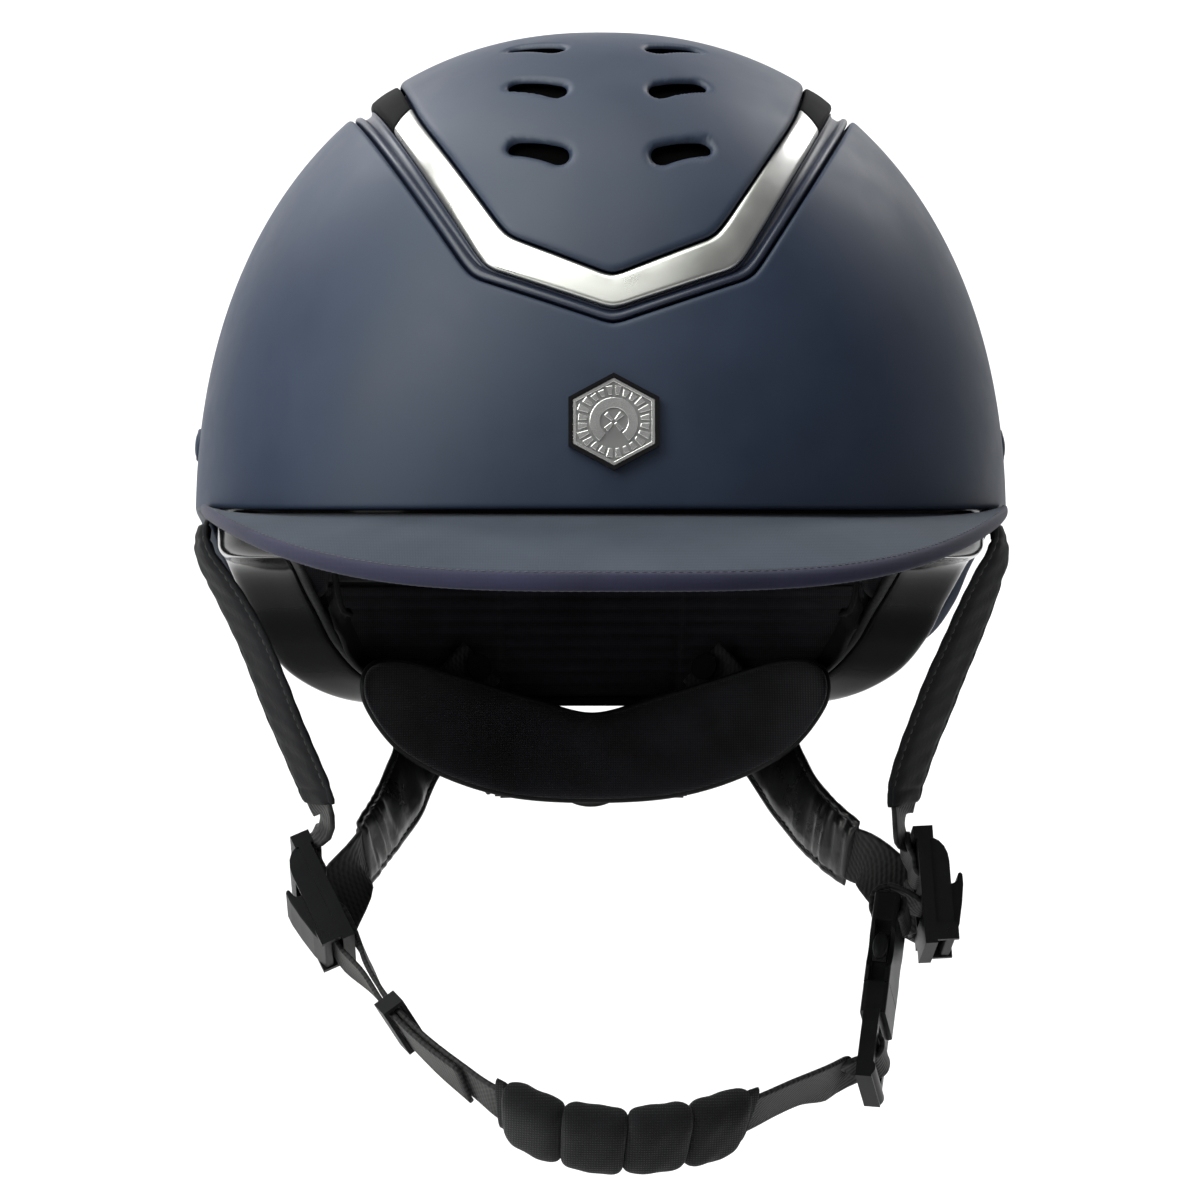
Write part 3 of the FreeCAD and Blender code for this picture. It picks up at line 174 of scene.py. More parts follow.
def woven(name, dark, light, per_metre, rough=0.9, sheen=0.08, depth=0.00012):
    """A plain weave: two crossed waves, one over the other."""
    m = new_material(name, light, rough, sheen=sheen, specular=0.2)
    shader(m).inputs["Sheen Roughness"].default_value = 0.5
    weave = node(m, "ShaderNodeMath", operation="MULTIPLY")
    for k, direction in enumerate("XZ"):
        wave = texture(m, "ShaderNodeTexWave", bands_direction=direction, Scale=per_metre / 3.2,
                       Distortion=0.25, Detail=1.0, Detail_Scale=2.0)
        join(m, wave, "Fac", weave, k)
    mottled = weighted(m, weave, 0, 0.55, texture(m, "ShaderNodeTexNoise", Scale=55.0, Detail=4.0))
    join(m, ramp(m, mottled, 0, 0.35, 1.0, dark, light), "Color", shader(m), "Base Color")
    bump_from(m, weave, 0, 0.6, depth)
    return m


def webbing_material(name, dark, light):
    """Narrow webbing from its own length and width: ribs across it and a fine twill."""
    m = new_material(name, light, 0.62, sheen=0.06, specular=0.3)
    ribs, twill = [texture(m, "ShaderNodeTexWave", "UV", bands_direction=way, Scale=scale, Distortion=bend)
                   for way, scale, bend in (("X", 230.0, 0.15), ("DIAGONAL", 330.0, 0.2))]
    both = weighted(m, ribs, "Fac", 0.6, twill)
    join(m, ramp(m, both, 0, 0.3, 1.4, dark, light), "Color", shader(m), "Base Color")
    bump_from(m, both, 0, 0.7, 0.00014)
    return m


def leather(name, dark, light, rough, coat, grain=420.0, strength=0.35, specular=0.5):
    """Grained leather: small cells, a few creases, worn sheen."""
    m = new_material(name, light, rough, coat=coat, coat_rough=0.2, specular=specular)
    vary(m, 60.0, (dark, light), (rough * 0.85, rough * 1.2), detail=5.0)
    cells = texture(m, "ShaderNodeTexVoronoi", feature="DISTANCE_TO_EDGE", Scale=grain)
    first = bump_from(m, ramp(m, cells, "Distance", 0.0, 0.35, 0.0, 1.0), "Color", strength, 0.00012)
    fine_noise(m, 190.0, 0.25, 0.0004, first, detail=4.0)
    return m


def brushed(name, colour, rough, strength=0.08):
    """Metal with a faint brushed grain along its height."""
    m = new_material(name, colour, rough, metallic=1.0)
    vary(m, 70.0, (tuple(c * 0.93 for c in colour), colour), (rough * 0.85, rough * 1.2), detail=5.0)
    stretch = texture(m, "ShaderNodeMapping", Scale=(0.05, 0.05, 1.0))
    n = node(m, "ShaderNodeTexNoise", Scale=900.0, Detail=3.0)
    join(m, stretch, "Vector", n, "Vector")
    bump_from(m, n, "Fac", strength, 0.00005)
    return m


NAVY_DARK, NAVY_LIGHT = (0.0110, 0.0190, 0.041), (0.0150, 0.0250, 0.051)
mats = {
    "shell": painted("shell_navy", NAVY_DARK, NAVY_LIGHT, 0.52, specular=0.36),
    "panel": painted("panel_navy", NAVY_DARK, NAVY_LIGHT, 0.52, specular=0.46),
    "surround": painted("surround_navy", (0.011, 0.015, 0.032), (0.014, 0.020, 0.040), 0.40),
    "gloss": painted("rim_gloss", (0.0035, 0.0035, 0.004), (0.005, 0.005, 0.006), 0.11,
                     grain=600.0, grain_strength=0.02, specular=0.045),
    # dead black, matte, almost no specular: painted dark reflection on the rear run of the chrome strip
    "trim": painted("trim_painted_dark_reflection", (0.002, 0.002, 0.0024), (0.003, 0.003, 0.0034), 0.6, specular=0.03),
    "black_gloss": painted("gloss_black", (0.004, 0.004, 0.005), (0.006, 0.006, 0.007), 0.16,
                           grain_strength=0.03, specular=0.3),
    # the vent screen's own black, deepened to 0.001 with no specular: painted shade inside the vent slots
    "screen": painted("screen_black", (0.001, 0.001, 0.001), (0.002, 0.002, 0.002), 0.9, specular=0.0),
    "foam": painted("foam_black", (0.006, 0.006, 0.007), (0.012, 0.012, 0.013), 0.85, grain=700.0,
                    grain_strength=0.6),
    "nylon": painted("nylon_black", (0.006, 0.006, 0.0065), (0.010, 0.010, 0.0105), 0.36, coat=0.1),
    "divider": painted("divider_black", (0.008, 0.008, 0.009), (0.013, 0.013, 0.0145), 0.40, specular=0.06),
    "buckle": painted("buckle_black", (0.006, 0.006, 0.007), (0.010, 0.010, 0.011), 0.36, specular=0.07),
    "arm": painted("arm_black", (0.003, 0.003, 0.0033), (0.005, 0.005, 0.0055), 0.75, specular=0.08),
    "rubber": painted("dial_rubber", (0.007, 0.007, 0.007), (0.013, 0.013, 0.013), 0.62, grain=900.0,
                      grain_strength=0.4),
    "peak_plastic": painted("peak_plastic", (0.006, 0.007, 0.010), (0.010, 0.011, 0.015), 0.5),
    "web": webbing_material("harness_webbing", (0.0012, 0.0012, 0.0015), (0.011, 0.011, 0.012)),
    "leather": leather("strap_leather", (0.008, 0.008, 0.0095), (0.014, 0.014, 0.016), 0.60, 0.0,
                       specular=0.07),
    "rear_leather": leather("rear_leather", (0.004, 0.004, 0.005), (0.007, 0.007, 0.008), 0.30, 0.15,
                            grain=300.0, strength=0.3, specular=0.4),
    "piping": leather("piping_leather", (0.004, 0.004, 0.005), (0.008, 0.008, 0.009), 0.5, 0.0, specular=0.12),
    "peak": woven("peak_fabric", (0.013, 0.0195, 0.034), (0.024, 0.0335, 0.055), 2600.0, rough=0.75,
                  sheen=0.10, depth=0.00006),
    "binding": woven("peak_binding", (0.008, 0.008, 0.024), (0.016, 0.016, 0.044), 3200.0, rough=0.75,
                     sheen=0.1, depth=0.00006),
    "lining": woven("liner_fabric", (0.004, 0.004, 0.0065), (0.016, 0.016, 0.022), 1900.0),
    "nape": woven("nape_fabric", (0.003, 0.003, 0.0044), (0.015, 0.015, 0.0195), 1500.0,
                  depth=0.0002),
    "chin": woven("chin_fabric", (0.0022, 0.0022, 0.0030), (0.011, 0.011, 0.0135), 1500.0,
                  depth=0.0002),
    "thread": painted("stitch_thread", (0.020, 0.020, 0.030), (0.045, 0.045, 0.060), 0.6),
    "black_thread": painted("black_thread", (0.012, 0.012, 0.013), (0.028, 0.028, 0.030), 0.55),
    "chrome": brushed("satin_silver", (0.57, 0.57, 0.555), 0.30, strength=0.012),
    "badge": brushed("badge_silver", (0.80, 0.80, 0.80), 0.24, strength=0.03),
    "badge_dark": brushed("badge_recess", (0.34, 0.34, 0.345), 0.42, strength=0.03),
    "steel": brushed("steel", (0.50, 0.50, 0.51), 0.30),
    "floor": new_material("pale_floor", (0.60, 0.60, 0.603), 0.8, specular=0.2),
}


# ---- mesh helpers
def edit_mesh(me, *steps):
    """Runs the steps on the mesh, then turns its faces outwards."""
    bm = bmesh.new()
    bm.from_mesh(me)
    for step in steps:
        step(bm)
    bmesh.ops.recalc_face_normals(bm, faces=bm.faces)
    bm.to_mesh(me)
    bm.free()


def make(name, verts, faces, material, body="shell", smooth=True, uv=None, slot=None, replaces=()):
    me = bpy.data.meshes.new(name)
    me.from_pydata([tuple(map(float, v)) for v in verts], [], faces)
    me.update()
    edit_mesh(me)
    if uv is not None:
        layer = me.uv_layers.new(name="flat")
        for loop in me.loops:
            layer.data[loop.index].uv = uv[loop.vertex_index]
    me.materials.append(mats[material])
    for p in me.polygons:
        p.use_smooth = smooth
    ob = bpy.data.objects.new(name, me)
    scene.collection.objects.link(ob)
    if body is not None:
        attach(ob, body)
    if replaces:
        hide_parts(*replaces)
    return ob


WELD_GAP = 1e-6


def weld(ob):
    """Joins the points that lie on each other, and drops the faces that this empties."""
    edit_mesh(ob.data,
              lambda bm: bmesh.ops.remove_doubles(bm, verts=bm.verts, dist=WELD_GAP),
              lambda bm: bmesh.ops.dissolve_degenerate(bm, edges=bm.edges, dist=WELD_GAP))


def bevel(ob, width, segments, angle=35.0):
    mod = ob.modifiers.new("edges", "BEVEL")
    mod.width, mod.segments, mod.limit_method = width, segments, "ANGLE"
    mod.angle_limit = math.radians(angle)
    mod.harden_normals = False


def grid_faces(rows, cols, close_rows, close_cols):
    faces = []
    for i in range(rows if close_rows else rows - 1):
        for j in range(cols if close_cols else cols - 1):
            a, b = i * cols + j, i * cols + (j + 1) % cols
            c, d = ((i + 1) % rows) * cols + (j + 1) % cols, ((i + 1) % rows) * cols + j
            faces.append((a, b, c, d))
    return faces


def tube_faces(rows, cols):
    """Faces through closed rows of points, with a cap on the first and the last."""
    return (grid_faces(rows, cols, False, True)
            + [tuple(reversed(range(cols))), tuple((rows - 1) * cols + j for j in range(cols))])


def bar_faces(rows, cols):
    """Faces through open rows of points that close on each other, with a cap at both ends."""
    return (grid_faces(rows, cols, True, False)
            + [tuple(i * cols for i in range(rows)), tuple(i * cols + cols - 1 for i in reversed(range(rows)))])


def shifted(faces, by):
    """The faces with by added to every point's number."""
    return [tuple(by + i for i in f) for f in faces]


def unit(v):
    v = np.asarray(v, float)
    return v / np.linalg.norm(v)


def turn(count):
    """The angles of count steps round a circle."""
    return np.arange(count) * TAU / count


# ---- the helmet's surface
POWER = 2.2
SHELL = (0.110, 0.125, 0.130, 0.135)        # half width, front, rear, crown; metres
CRADLE = (74.0, 85.0, 130.0)                # half width, rear, crown; millimetres


def egg(d, off=0.0):
    """The points of the egg-shaped surface in the directions d, moved out along its normal."""
    a, front, rear, c = SHELL
    size = np.stack([np.full(d.shape[:-1], a), np.where(d[..., 1] < 0, front, rear),
                     np.full(d.shape[:-1], c)], -1)
    r = (np.abs(d / size) ** POWER).sum(-1) ** (-1.0 / POWER)
    p = d * r[..., None]
    g = np.sign(p) * np.abs(p / size) ** (POWER - 1) / size
    g /= np.linalg.norm(g, axis=-1)[..., None]
    return p + g * np.asarray(off)[..., None]


def direction(phi, theta):
    """phi goes round from the front towards +X, theta up from level."""
    return np.stack([np.cos(theta) * np.sin(phi), -np.cos(theta) * np.cos(phi), np.sin(theta)], -1)


def smooth_line(points, steps=12):
    """A Catmull-Rom line through the points."""
    p = np.array(points, float)
    p = np.vstack([2 * p[0] - p[1], p, 2 * p[-1] - p[-2]])
    out = []
    for i in range(1, len(p) - 2):
        for k in range(steps):
            t = k / steps
            out.append(0.5 * (2 * p[i] + (p[i + 1] - p[i - 1]) * t
                              + (2 * p[i - 1] - 5 * p[i] + 4 * p[i + 1] - p[i + 2]) * t * t
                              + (3 * p[i] - p[i - 1] - 3 * p[i + 1] + p[i + 2]) * t ** 3))
    out.append(p[-2])
    return np.array(out)


def side_line(points):
    """The height of a lower edge over y."""
    line = smooth_line(points) * MM
    return lambda y: np.interp(y, line[:, 0], line[:, 1])


RIM_LOW = side_line([(-180, -8), (-125, -8), (-60, -8), (-10, -8), (18, -10.5), (40, -21),
                     (52, -32), (66, -42), (88, -49), (118, -48.5), (180, -47)])
SHELL_LOW = side_line([(-180, 3.6), (-125, 3.6), (-80, 4.3), (-37, 5.3), (-10, 4.6), (18, 1.0),
                       (40, -9.3), (52, -20.3), (66, -30.3), (88, -37.3), (118, -36.8), (180, -35.3)])
GROOVE = [(0, 49.8), (35.9, 62.2), (65.6, 107.4), (100.0, 159.7)]
STRIP_OUTER = [(0, 53.9), (31.9, 64.9), (55.5, 102.9), (89.0, 156.8)]
STRIP_INNER = [(0, 62.3), (26.8, 73.0), (49.5, 106.2), (72.0, 160.0)]
KNEE_ROUND = 3.0


def vee(line, shift=0.0):
    """The height of a chevron line over |x| in front view, moved outwards (+), its knees rounded."""
    p = np.array([(-x, z) for x, z in line[:0:-1]] + line, float)
    d = np.diff(p, axis=0)
    d /= np.linalg.norm(d, axis=1)[:, None]
    n = np.stack([d[:, 1], -d[:, 0]], -1)
    before, after = np.vstack([n[:1], n]), np.vstack([n, n[-1:]])
    bis = before + after
    bis /= np.linalg.norm(bis, axis=1)[:, None]
    p = p + bis * (shift / (bis * before).sum(1))[:, None]
    fine = np.vstack([np.linspace(p[i], p[i + 1], 80, endpoint=False) for i in range(len(p) - 1)])
    x = np.arange(0, 95.0, 0.5)
    z = np.interp(x, fine[:, 0], fine[:, 1])
    around = [np.interp(x + k, fine[:, 0], fine[:, 1]) for k in np.linspace(-KNEE_ROUND, KNEE_ROUND, 13)]
    z = 0.25 * z + 0.75 * np.mean(around, axis=0)
    return lambda px: np.interp(np.abs(px), x * MM, z * MM)


def climb(phi, off, above):
    """The angle up each meridian at which the surface first comes above a line."""
    low, high = np.full(phi.shape, -1.35), np.full(phi.shape, math.pi / 2)
    for _ in range(30):
        mid = (low + high) / 2
        up = above(egg(direction(phi, mid), off))
        high, low = np.where(up, mid, high), np.where(up, low, mid)
    return high


ROUND = turn(480)


def at_low(phi, line, rise, off):
    rise, off = rise * MM, off * MM
    return climb(phi, off, lambda p: p[..., 2] > line(p[..., 1]) + rise)


def at_vee(phi, line, shift, off):
    height = vee(line, shift)
    return climb(phi, off * MM, lambda p: p[..., 2] > height(p[..., 0]))


def on_egg(phi, theta, off):
    return egg(direction(phi, theta), off * MM)


def low_rows(line, section, phi=ROUND):
    """Rows of a section given as (rise over a lower line, depth) pairs, in millimetres."""
    return [on_egg(phi, at_low(phi, line, rise, off), off) for rise, off in section]


def vee_rows(line, section, phi=ROUND):
    """Rows of a section given as (shift from a chevron line, depth) pairs, in millimetres."""
    return [on_egg(phi, at_vee(phi, line, shift, off), off) for shift, off in section]


def ring_piece(name, rows, material, **kw):
    """A closed band round the helmet from rows of points, one row round it each."""
    cols = len(rows[0])
    return make(name, np.concatenate(rows), grid_faces(len(rows), cols, True, True), material, **kw)


def arc_piece(name, rows, material, **kw):
    """The same, over part of the way round, with both ends closed."""
    return make(name, np.concatenate(rows), bar_faces(len(rows), len(rows[0])), material, **kw)


# ---- outer shell
SHELL_T, OUTSIDE_STEPS, INSIDE_STEPS = 3.0, 64, 12


def outer_shell():
    phi = ROUND
    rows = low_rows(SHELL_LOW, ((0.9, -SHELL_T), (0.25, -2.75), (0.0, -2.2), (0.0, -1.2), (0.12, -0.6),
                                (0.45, -0.2), (1.1, -0.02)))
    low, high = at_low(phi, SHELL_LOW, 1.6, 0.0), at_vee(phi, GROOVE, 1.6, 0.0)
    rows += [on_egg(phi, low + (high - low) * i / OUTSIDE_STEPS, 0.0) for i in range(OUTSIDE_STEPS + 1)]
    rows += vee_rows(GROOVE, ((1.0, -0.03), (0.5, -0.18), (0.15, -0.5), (0.0, -1.0), (0.0, -SHELL_T)))
    low, high = at_low(phi, SHELL_LOW, 0.9, -SHELL_T), at_vee(phi, GROOVE, 0.0, -SHELL_T)
    rows += [on_egg(phi, high + (low - high) * i / INSIDE_STEPS, -SHELL_T) for i in range(1, INSIDE_STEPS)]
    ring_piece("helmet_shell", rows, "shell", slot="shell_navy", replaces=("outer_shell",))


# ---- crown: surround, chevron, panel
def surround():
    """The sunk ring under the chevron: a bead beside the groove, then a cove up to the strip."""
    rows = vee_rows(GROOVE, ((4.0, -4.6), (4.0, -3.4), (0.0, -3.4), (-0.55, -3.2), (-0.6, -2.2), (-0.72, -1.5),
                             (-1.05, -1.05), (-1.55, -0.88), (-2.1, -1.0), (-2.5, -1.35), (-2.75, -1.9),
                             (-3.0, -2.45), (-3.4, -2.8)))
    rows += vee_rows(STRIP_OUTER, ((1.3, -2.95), (0.75, -2.7), (0.4, -2.2), (0.3, -2.2), (0.1, -3.3)))
    rows += vee_rows(STRIP_INNER, ((-5.5, -3.3), (-5.5, -4.6)))
    ring_piece("crown_surround", rows, "surround", slot="surround_navy", replaces=("panel_surround",))


def chevron(name, phi, material, slot, node_name):
    """The strip round the crown opening, its outer side a narrow bright slope."""
    rows = vee_rows(STRIP_OUTER, ((0.0, -3.2), (-0.05, -1.5), (-0.25, -0.95), (-0.75, -0.5), (-1.15, -0.34),
                                  (-1.6, -0.3)), phi)
    a, b = at_vee(phi, STRIP_OUTER, -1.6, -0.3), at_vee(phi, STRIP_INNER, 1.3, -0.3)
    rows += [on_egg(phi, a + (b - a) * t, -0.3 + 0.16 * math.sin(math.pi * t)) for t in (0.2, 0.4, 0.6, 0.8)]
    rows += vee_rows(STRIP_INNER, ((1.3, -0.3), (0.7, -0.36), (0.25, -0.6), (0.05, -1.0), (0.0, -3.2)), phi)
    arc_piece(name, rows, material, slot=slot, replaces=(node_name,))


def chevron_split():
    """The azimuth at which the strip's middle passes the height where the chrome's bright reflection ends; past
    it the strip is painted black for its dark reflection.
    """
    phi = np.linspace(0.05, math.pi / 2, 600)
    mid = (at_vee(phi, STRIP_OUTER, 0, 0) + at_vee(phi, STRIP_INNER, 0, 0)) / 2
    return float(phi[np.argmax(on_egg(phi, mid, 0.0)[:, 2] > BRIGHT_TOP)])


outer_shell()
surround()
BRIGHT_TOP, SPLIT_GAP = 0.107, 0.004
SPLIT = chevron_split()
chevron("chevron_front", np.linspace(-SPLIT, SPLIT, 241), "chrome", "chrome_trim", "chevron_trim")
# the rest of the strip, back over the crown, is painted black: a painted dark reflection of the chrome strip
chevron("chevron_rear", np.linspace(SPLIT + SPLIT_GAP, TAU - SPLIT - SPLIT_GAP, 361), "trim", "gloss_black",
        "rear_trim")

VENT_L, VENT_W, VENT_X, VENT_SLANT, VENT_BEND = 17.5, 6.5, 19.0, math.radians(31.0), 1.0
VENT_ROWS = (-92.0, -71.0, -45.0, 45.0, 71.0)


def vent_distance(p):
    """Signed distance of each point from the nearest vent slot's outline, in millimetres."""
    best = np.full(len(p), 1e3)
    for y in VENT_ROWS:
        for side in (-1, 1):
            x = side * VENT_X
            b = SHELL[1] if y < 0 else SHELL[2]
            z = SHELL[3] * (1 - abs(x * MM / SHELL[0]) ** POWER - abs(y * MM / b) ** POWER) ** (1 / POWER)
            on = np.array([x * MM, y * MM, z])
            out = egg(on[None], 1.0)[0] - egg(on[None], 0.0)[0]
            slant = VENT_SLANT * (1 if y < 0 else -1) * side
            u = np.array([math.cos(slant), math.sin(slant), 0.0])
            u -= out * u.dot(out)
            u /= np.linalg.norm(u)
            v = np.cross(out, u)
            q = (p - on) / MM
            along, across = q @ u, q @ v
            share = np.clip(along / (VENT_L / 2), -1, 1)
            across = across - VENT_BEND * (1 - share ** 2) * (1 if y < 0 else -1)
            half = VENT_W / 2 * (0.86 - 0.20 * share * side)
            along = np.maximum(np.abs(along) - (VENT_L - VENT_W) / 2, 0)
            best = np.minimum(best, np.hypot(along, across) - half)
    return best


def onto_outline(p, border, times):
    """Moves the points numbered in border onto the nearest slot outline."""
    step = 0.1 * MM
    for _ in range(times):
        q = p[border]
        grad = np.stack([(vent_distance(q + np.eye(3)[k] * step) - vent_distance(q - np.eye(3)[k] * step))
                         / (2 * step) * MM for k in range(3)], -1)
        grad /= np.maximum(np.linalg.norm(grad, axis=1), 1e-9)[:, None]
        p[border] = q - grad * (vent_distance(q) * MM)[:, None]


def crown_panel():
    """The panel over the crown, with its bevelled edge and lipped vent slots, then given thickness; its cut
    walls are painted near-black as the shade inside the slots.
    """
    cols, rings = 640, 116
    phi = turn(cols)
    rows = vee_rows(STRIP_INNER, [(s - 0.6, o) for s, o in (
        (0.0, -1.6), (-0.1, -0.9), (-0.5, -0.45), (-1.1, -0.15), (-1.9, -0.02))], phi)
    start = at_vee(phi, STRIP_INNER, -2.9, 0.0)
    rows += [on_egg(phi, start + (math.pi / 2 - start) * (i / rings), 0.0) for i in range(rings)]
    top, last = len(rows) * cols, (len(rows) - 1) * cols
    p = np.vstack(rows + [[[0, 0, SHELL[3]]]])
    faces = grid_faces(len(rows), cols, False, True)
    faces += [(last + j, last + (j + 1) % cols, top) for j in range(cols)]
    dist = vent_distance(p)
    keep = [f for f in faces if min(dist[i] for i in f) > -0.35]
    front, rear = np.array(SHELL)[[0, 1, 3]], np.array(SHELL)[[0, 2, 3]]
    normal = np.sign(p) * np.abs(p / front) ** (POWER - 1) / front
    normal /= np.linalg.norm(normal, axis=1)[:, None]
    edges = {}
    for f in keep:
        for a, b in zip(f, f[1:] + f[:1]):
            edges[(min(a, b), max(a, b))] = edges.get((min(a, b), max(a, b)), 0) + 1
    border = sorted({i for e, n in edges.items() if n == 1 for i in e if dist[i] < 3.0})
    onto_outline(p, border, 5)
    ring, near = {i: [] for i in border}, {}
    for (a, b), n in edges.items():
        for i, j in ((a, b), (b, a)):
            if i in ring and n == 1:
                ring[i].append(j)
            elif i not in ring and dist[i] < 3.4:
                near.setdefault(i, []).append(j)
    spread = [(i, js) for i, js in list(ring.items()) + list(near.items()) if js]
    for _ in range(EASE_ROUNDS):
        moved = np.array([0.5 * p[i] + 0.5 * p[js].mean(0) for i, js in spread])
        moved /= ((np.abs(moved / np.where(moved[:, 1:2] < 0, front, rear)) ** POWER).sum(1)
                  ** (1 / POWER))[:, None]
        p[[i for i, _ in spread]] = moved
        onto_outline(p, border, 2)
    lip = np.clip(1 - np.maximum(vent_distance(p), 0) / LIP_WIDTH, 0, 1)
    p -= normal * (LIP_DROP * lip ** 2.2 * MM)[:, None]
    used = sorted({i for f in keep for i in f})
    index = {old: new for new, old in enumerate(used)}
    ob = make("crown_cover", p[used], [tuple(index[i] for i in f) for f in keep], "panel",
              slot="panel_navy", replaces=("crown_panel",))
    mod = ob.modifiers.new("thickness", "SOLIDIFY")
    mod.thickness, mod.offset, mod.use_even_offset = 2.4 * MM, -1.0, False
    # the cut walls of the vents, and the panel's edge walls in the groove, take the near-black screen material:
    # painted shade
    ob.data.materials.append(mats["screen"])
    mod.material_offset_rim = 1


EASE_ROUNDS, LIP_WIDTH, LIP_DROP = 14, 2.2, 1.15
crown_panel()


# ---- lower rim
RIM_CORNER, RIM_WALL = 4.2, -6.0
BEAD_AT, BEAD_R = (0.95, -26.35), 1.45


def lower_rim():
    """The gloss channel: outer wall, rounded corner, faintly crowned underside, inner lip."""
    section = [(18.0, -8.0), (18.0, -6.3), (17.6, -6.0), (13.0, -6.0), (8.0, -6.0), (4.6, -6.0)]
    section += [(RIM_CORNER * (1 - math.sin(a)), RIM_WALL - RIM_CORNER * (1 - math.cos(a)))
                for a in (k / 9 * math.pi / 2 for k in range(1, 9))]
    section += [(0.02, -11.5), (0.05, -14.0), (0.12, -17.0), (0.10, -20.0), (0.02, -22.6), (0.1, -23.7),
                (0.45, -24.4), (0.9, -24.65), (1.7, -24.65), (2.0, -24.3), (2.0, -16.0), (2.0, -8.6),
                (2.6, -8.0), (10.0, -8.0)]
    ring_piece("lower_rim_channel", low_rows(RIM_LOW, section), "gloss", slot="rim_gloss",
               replaces=("lower_rim",))


lower_rim()
ring_piece("rim_bead", low_rows(RIM_LOW, [(BEAD_AT[0] + BEAD_R * math.sin(a), BEAD_AT[1] + BEAD_R * math.cos(a))
                                          for a in turn(12)]),
           "piping", slot="piping", replaces=("rim_piping",))


# ---- linings and pads inside
BAND_TOP = 36.0
NAPE_STEP_Y, NAPE_STEP_Z = 0.042, -0.017


def band_low(y):
    return np.maximum(RIM_LOW(y), np.where(y > NAPE_STEP_Y, NAPE_STEP_Z, -1.0))


def ribbed(name, phi, low_line, low_rise, high_z, outer, inner, pitch, seams, build, **kw):
    """Padding on the liner's inner face, quilted in level ribs, with upright sewn seams."""
    low_t = at_low(phi, low_line, low_rise, inner)
    high_t = climb(phi, inner * MM, lambda p: p[..., 2] > high_z * MM)
    seam = np.zeros(len(phi))
    for s in seams:
        gap = np.abs((phi - s + math.pi) % TAU - math.pi) * SEAM_RADIUS
        seam = np.maximum(seam, np.exp(-(gap / SEAM_WIDTH) ** 2))
    rows = []
    for t in np.linspace(0, 1, int(max(24, (high_z + 45) / pitch * 7)) + 1):
        theta = low_t + (high_t - low_t) * t
        z = egg(direction(phi, theta), inner * MM)[:, 2] / MM
        edge = (1 - min(1.0, min(t, 1 - t) / 0.06)) ** 2
        depth = inner + RIB_DEPTH * (1 - np.abs(np.sin(math.pi * z / pitch)) ** 0.6)
        depth += (outer - inner) * (0.85 * edge + 0.5 * seam)
        rows.append(egg(direction(phi, theta), depth * MM))
    rows += [on_egg(phi, high_t + (low_t - high_t) * t, np.full(len(phi), outer)) for t in (0.02, 0.5, 0.98)]
    return build(name, rows, "lining", slot="liner_fabric", **kw)


RIB_DEPTH, SEAM_WIDTH, SEAM_RADIUS, BACK_SPAN = 0.9, 1.5, 95.0, 1.08
ribbed("headband_pad", ROUND[::2], band_low, 3.4, BAND_TOP - 0.5, -25.35, -29.6, 7.5,
                 (0.6, -0.6, math.pi - 0.55, math.pi + 0.55, 1.7, -1.7), ring_piece,
                 replaces=("comfort_headband",))
ribbed("rear_lining", np.linspace(math.pi - BACK_SPAN, math.pi + BACK_SPAN, 221), RIM_LOW, 2.4,
                 -14.6, -25.12, -27.3, 3.6, (math.pi - 0.26, math.pi + 0.26), arc_piece)


PAD_HALF_W, PAD_LOW, PAD_OUTER, PAD_INNER, PAD_DEPTH = 18.3, 52, -25.8, -29.6, 0.027


def pad_arm(axis):
    """Rows of one arm of the crown padding: a crowned strip over the top of the head."""
    reach, crown = (SHELL[0], SHELL[2])[axis] * 0.78, SHELL[3] - PAD_DEPTH
    a = np.linspace(-1, 1, 61)
    swing = a * (math.pi / 2 - math.asin(PAD_LOW * MM / crown)) * 1.02
    along, up = np.sin(swing) * reach, np.cos(swing) * crown
    layers = []
    for swell in (False, True):
        rows = []
        for w in np.linspace(-1, 1, 15):
            wide = w * PAD_HALF_W * MM * (1 - 0.08 * np.abs(a) ** 6)
            puff = np.maximum(0.0, (1 - abs(w) ** 5) * (1 - np.abs(a) ** 24)) ** 0.5
            depth = PAD_OUTER + (PAD_INNER - PAD_OUTER) * (0.25 + 0.75 * puff) * swell
            rows.append(egg(np.stack([along, wide, up] if axis == 0 else [wide, along, up], -1), depth * MM))
        layers.append(rows)
    return layers[0] + layers[1][::-1]


def crown_cushion():
    """Both arms made whole at a voxel size, then eased."""
    verts, faces = np.zeros((0, 3)), []
    for axis in (0, 1):
        rows = pad_arm(axis)
        faces += shifted(bar_faces(len(rows), len(rows[0])), len(verts))
        verts = np.vstack([verts] + rows)
    ob = make("crown_cushion", verts, faces, "lining", body=None)
    mod = ob.modifiers.new("whole", "REMESH")
    mod.mode, mod.voxel_size = "VOXEL", 1.6 * MM
    ease = ob.modifiers.new("ease", "SMOOTH")
    ease.factor, ease.iterations = 0.5, 4
    shape = bpy.data.meshes.new_from_object(ob.evaluated_get(bpy.context.evaluated_depsgraph_get()))
    ob.modifiers.clear()
    ob.data = shape
    shape.materials.clear()
    shape.materials.append(mats["lining"])
    for p in shape.polygons:
        p.use_smooth = True
    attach(ob, "shell")
    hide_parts("crown_pad")


crown_cushion()


# ---- peak
PEAK_HALF_W, PEAK_ROOT_Z, PEAK_ROOT_RISE, PEAK_FRONT_Y = 107.0, 2.8, 1.0, -34.0
PEAK_REACH, PEAK_TIP_Z, PEAK_SIDE_Z, PEAK_EDGE_T, PEAK_END = 141.0, -17.3, 3.9, 4.0, 86.0
BINDING = 2.6


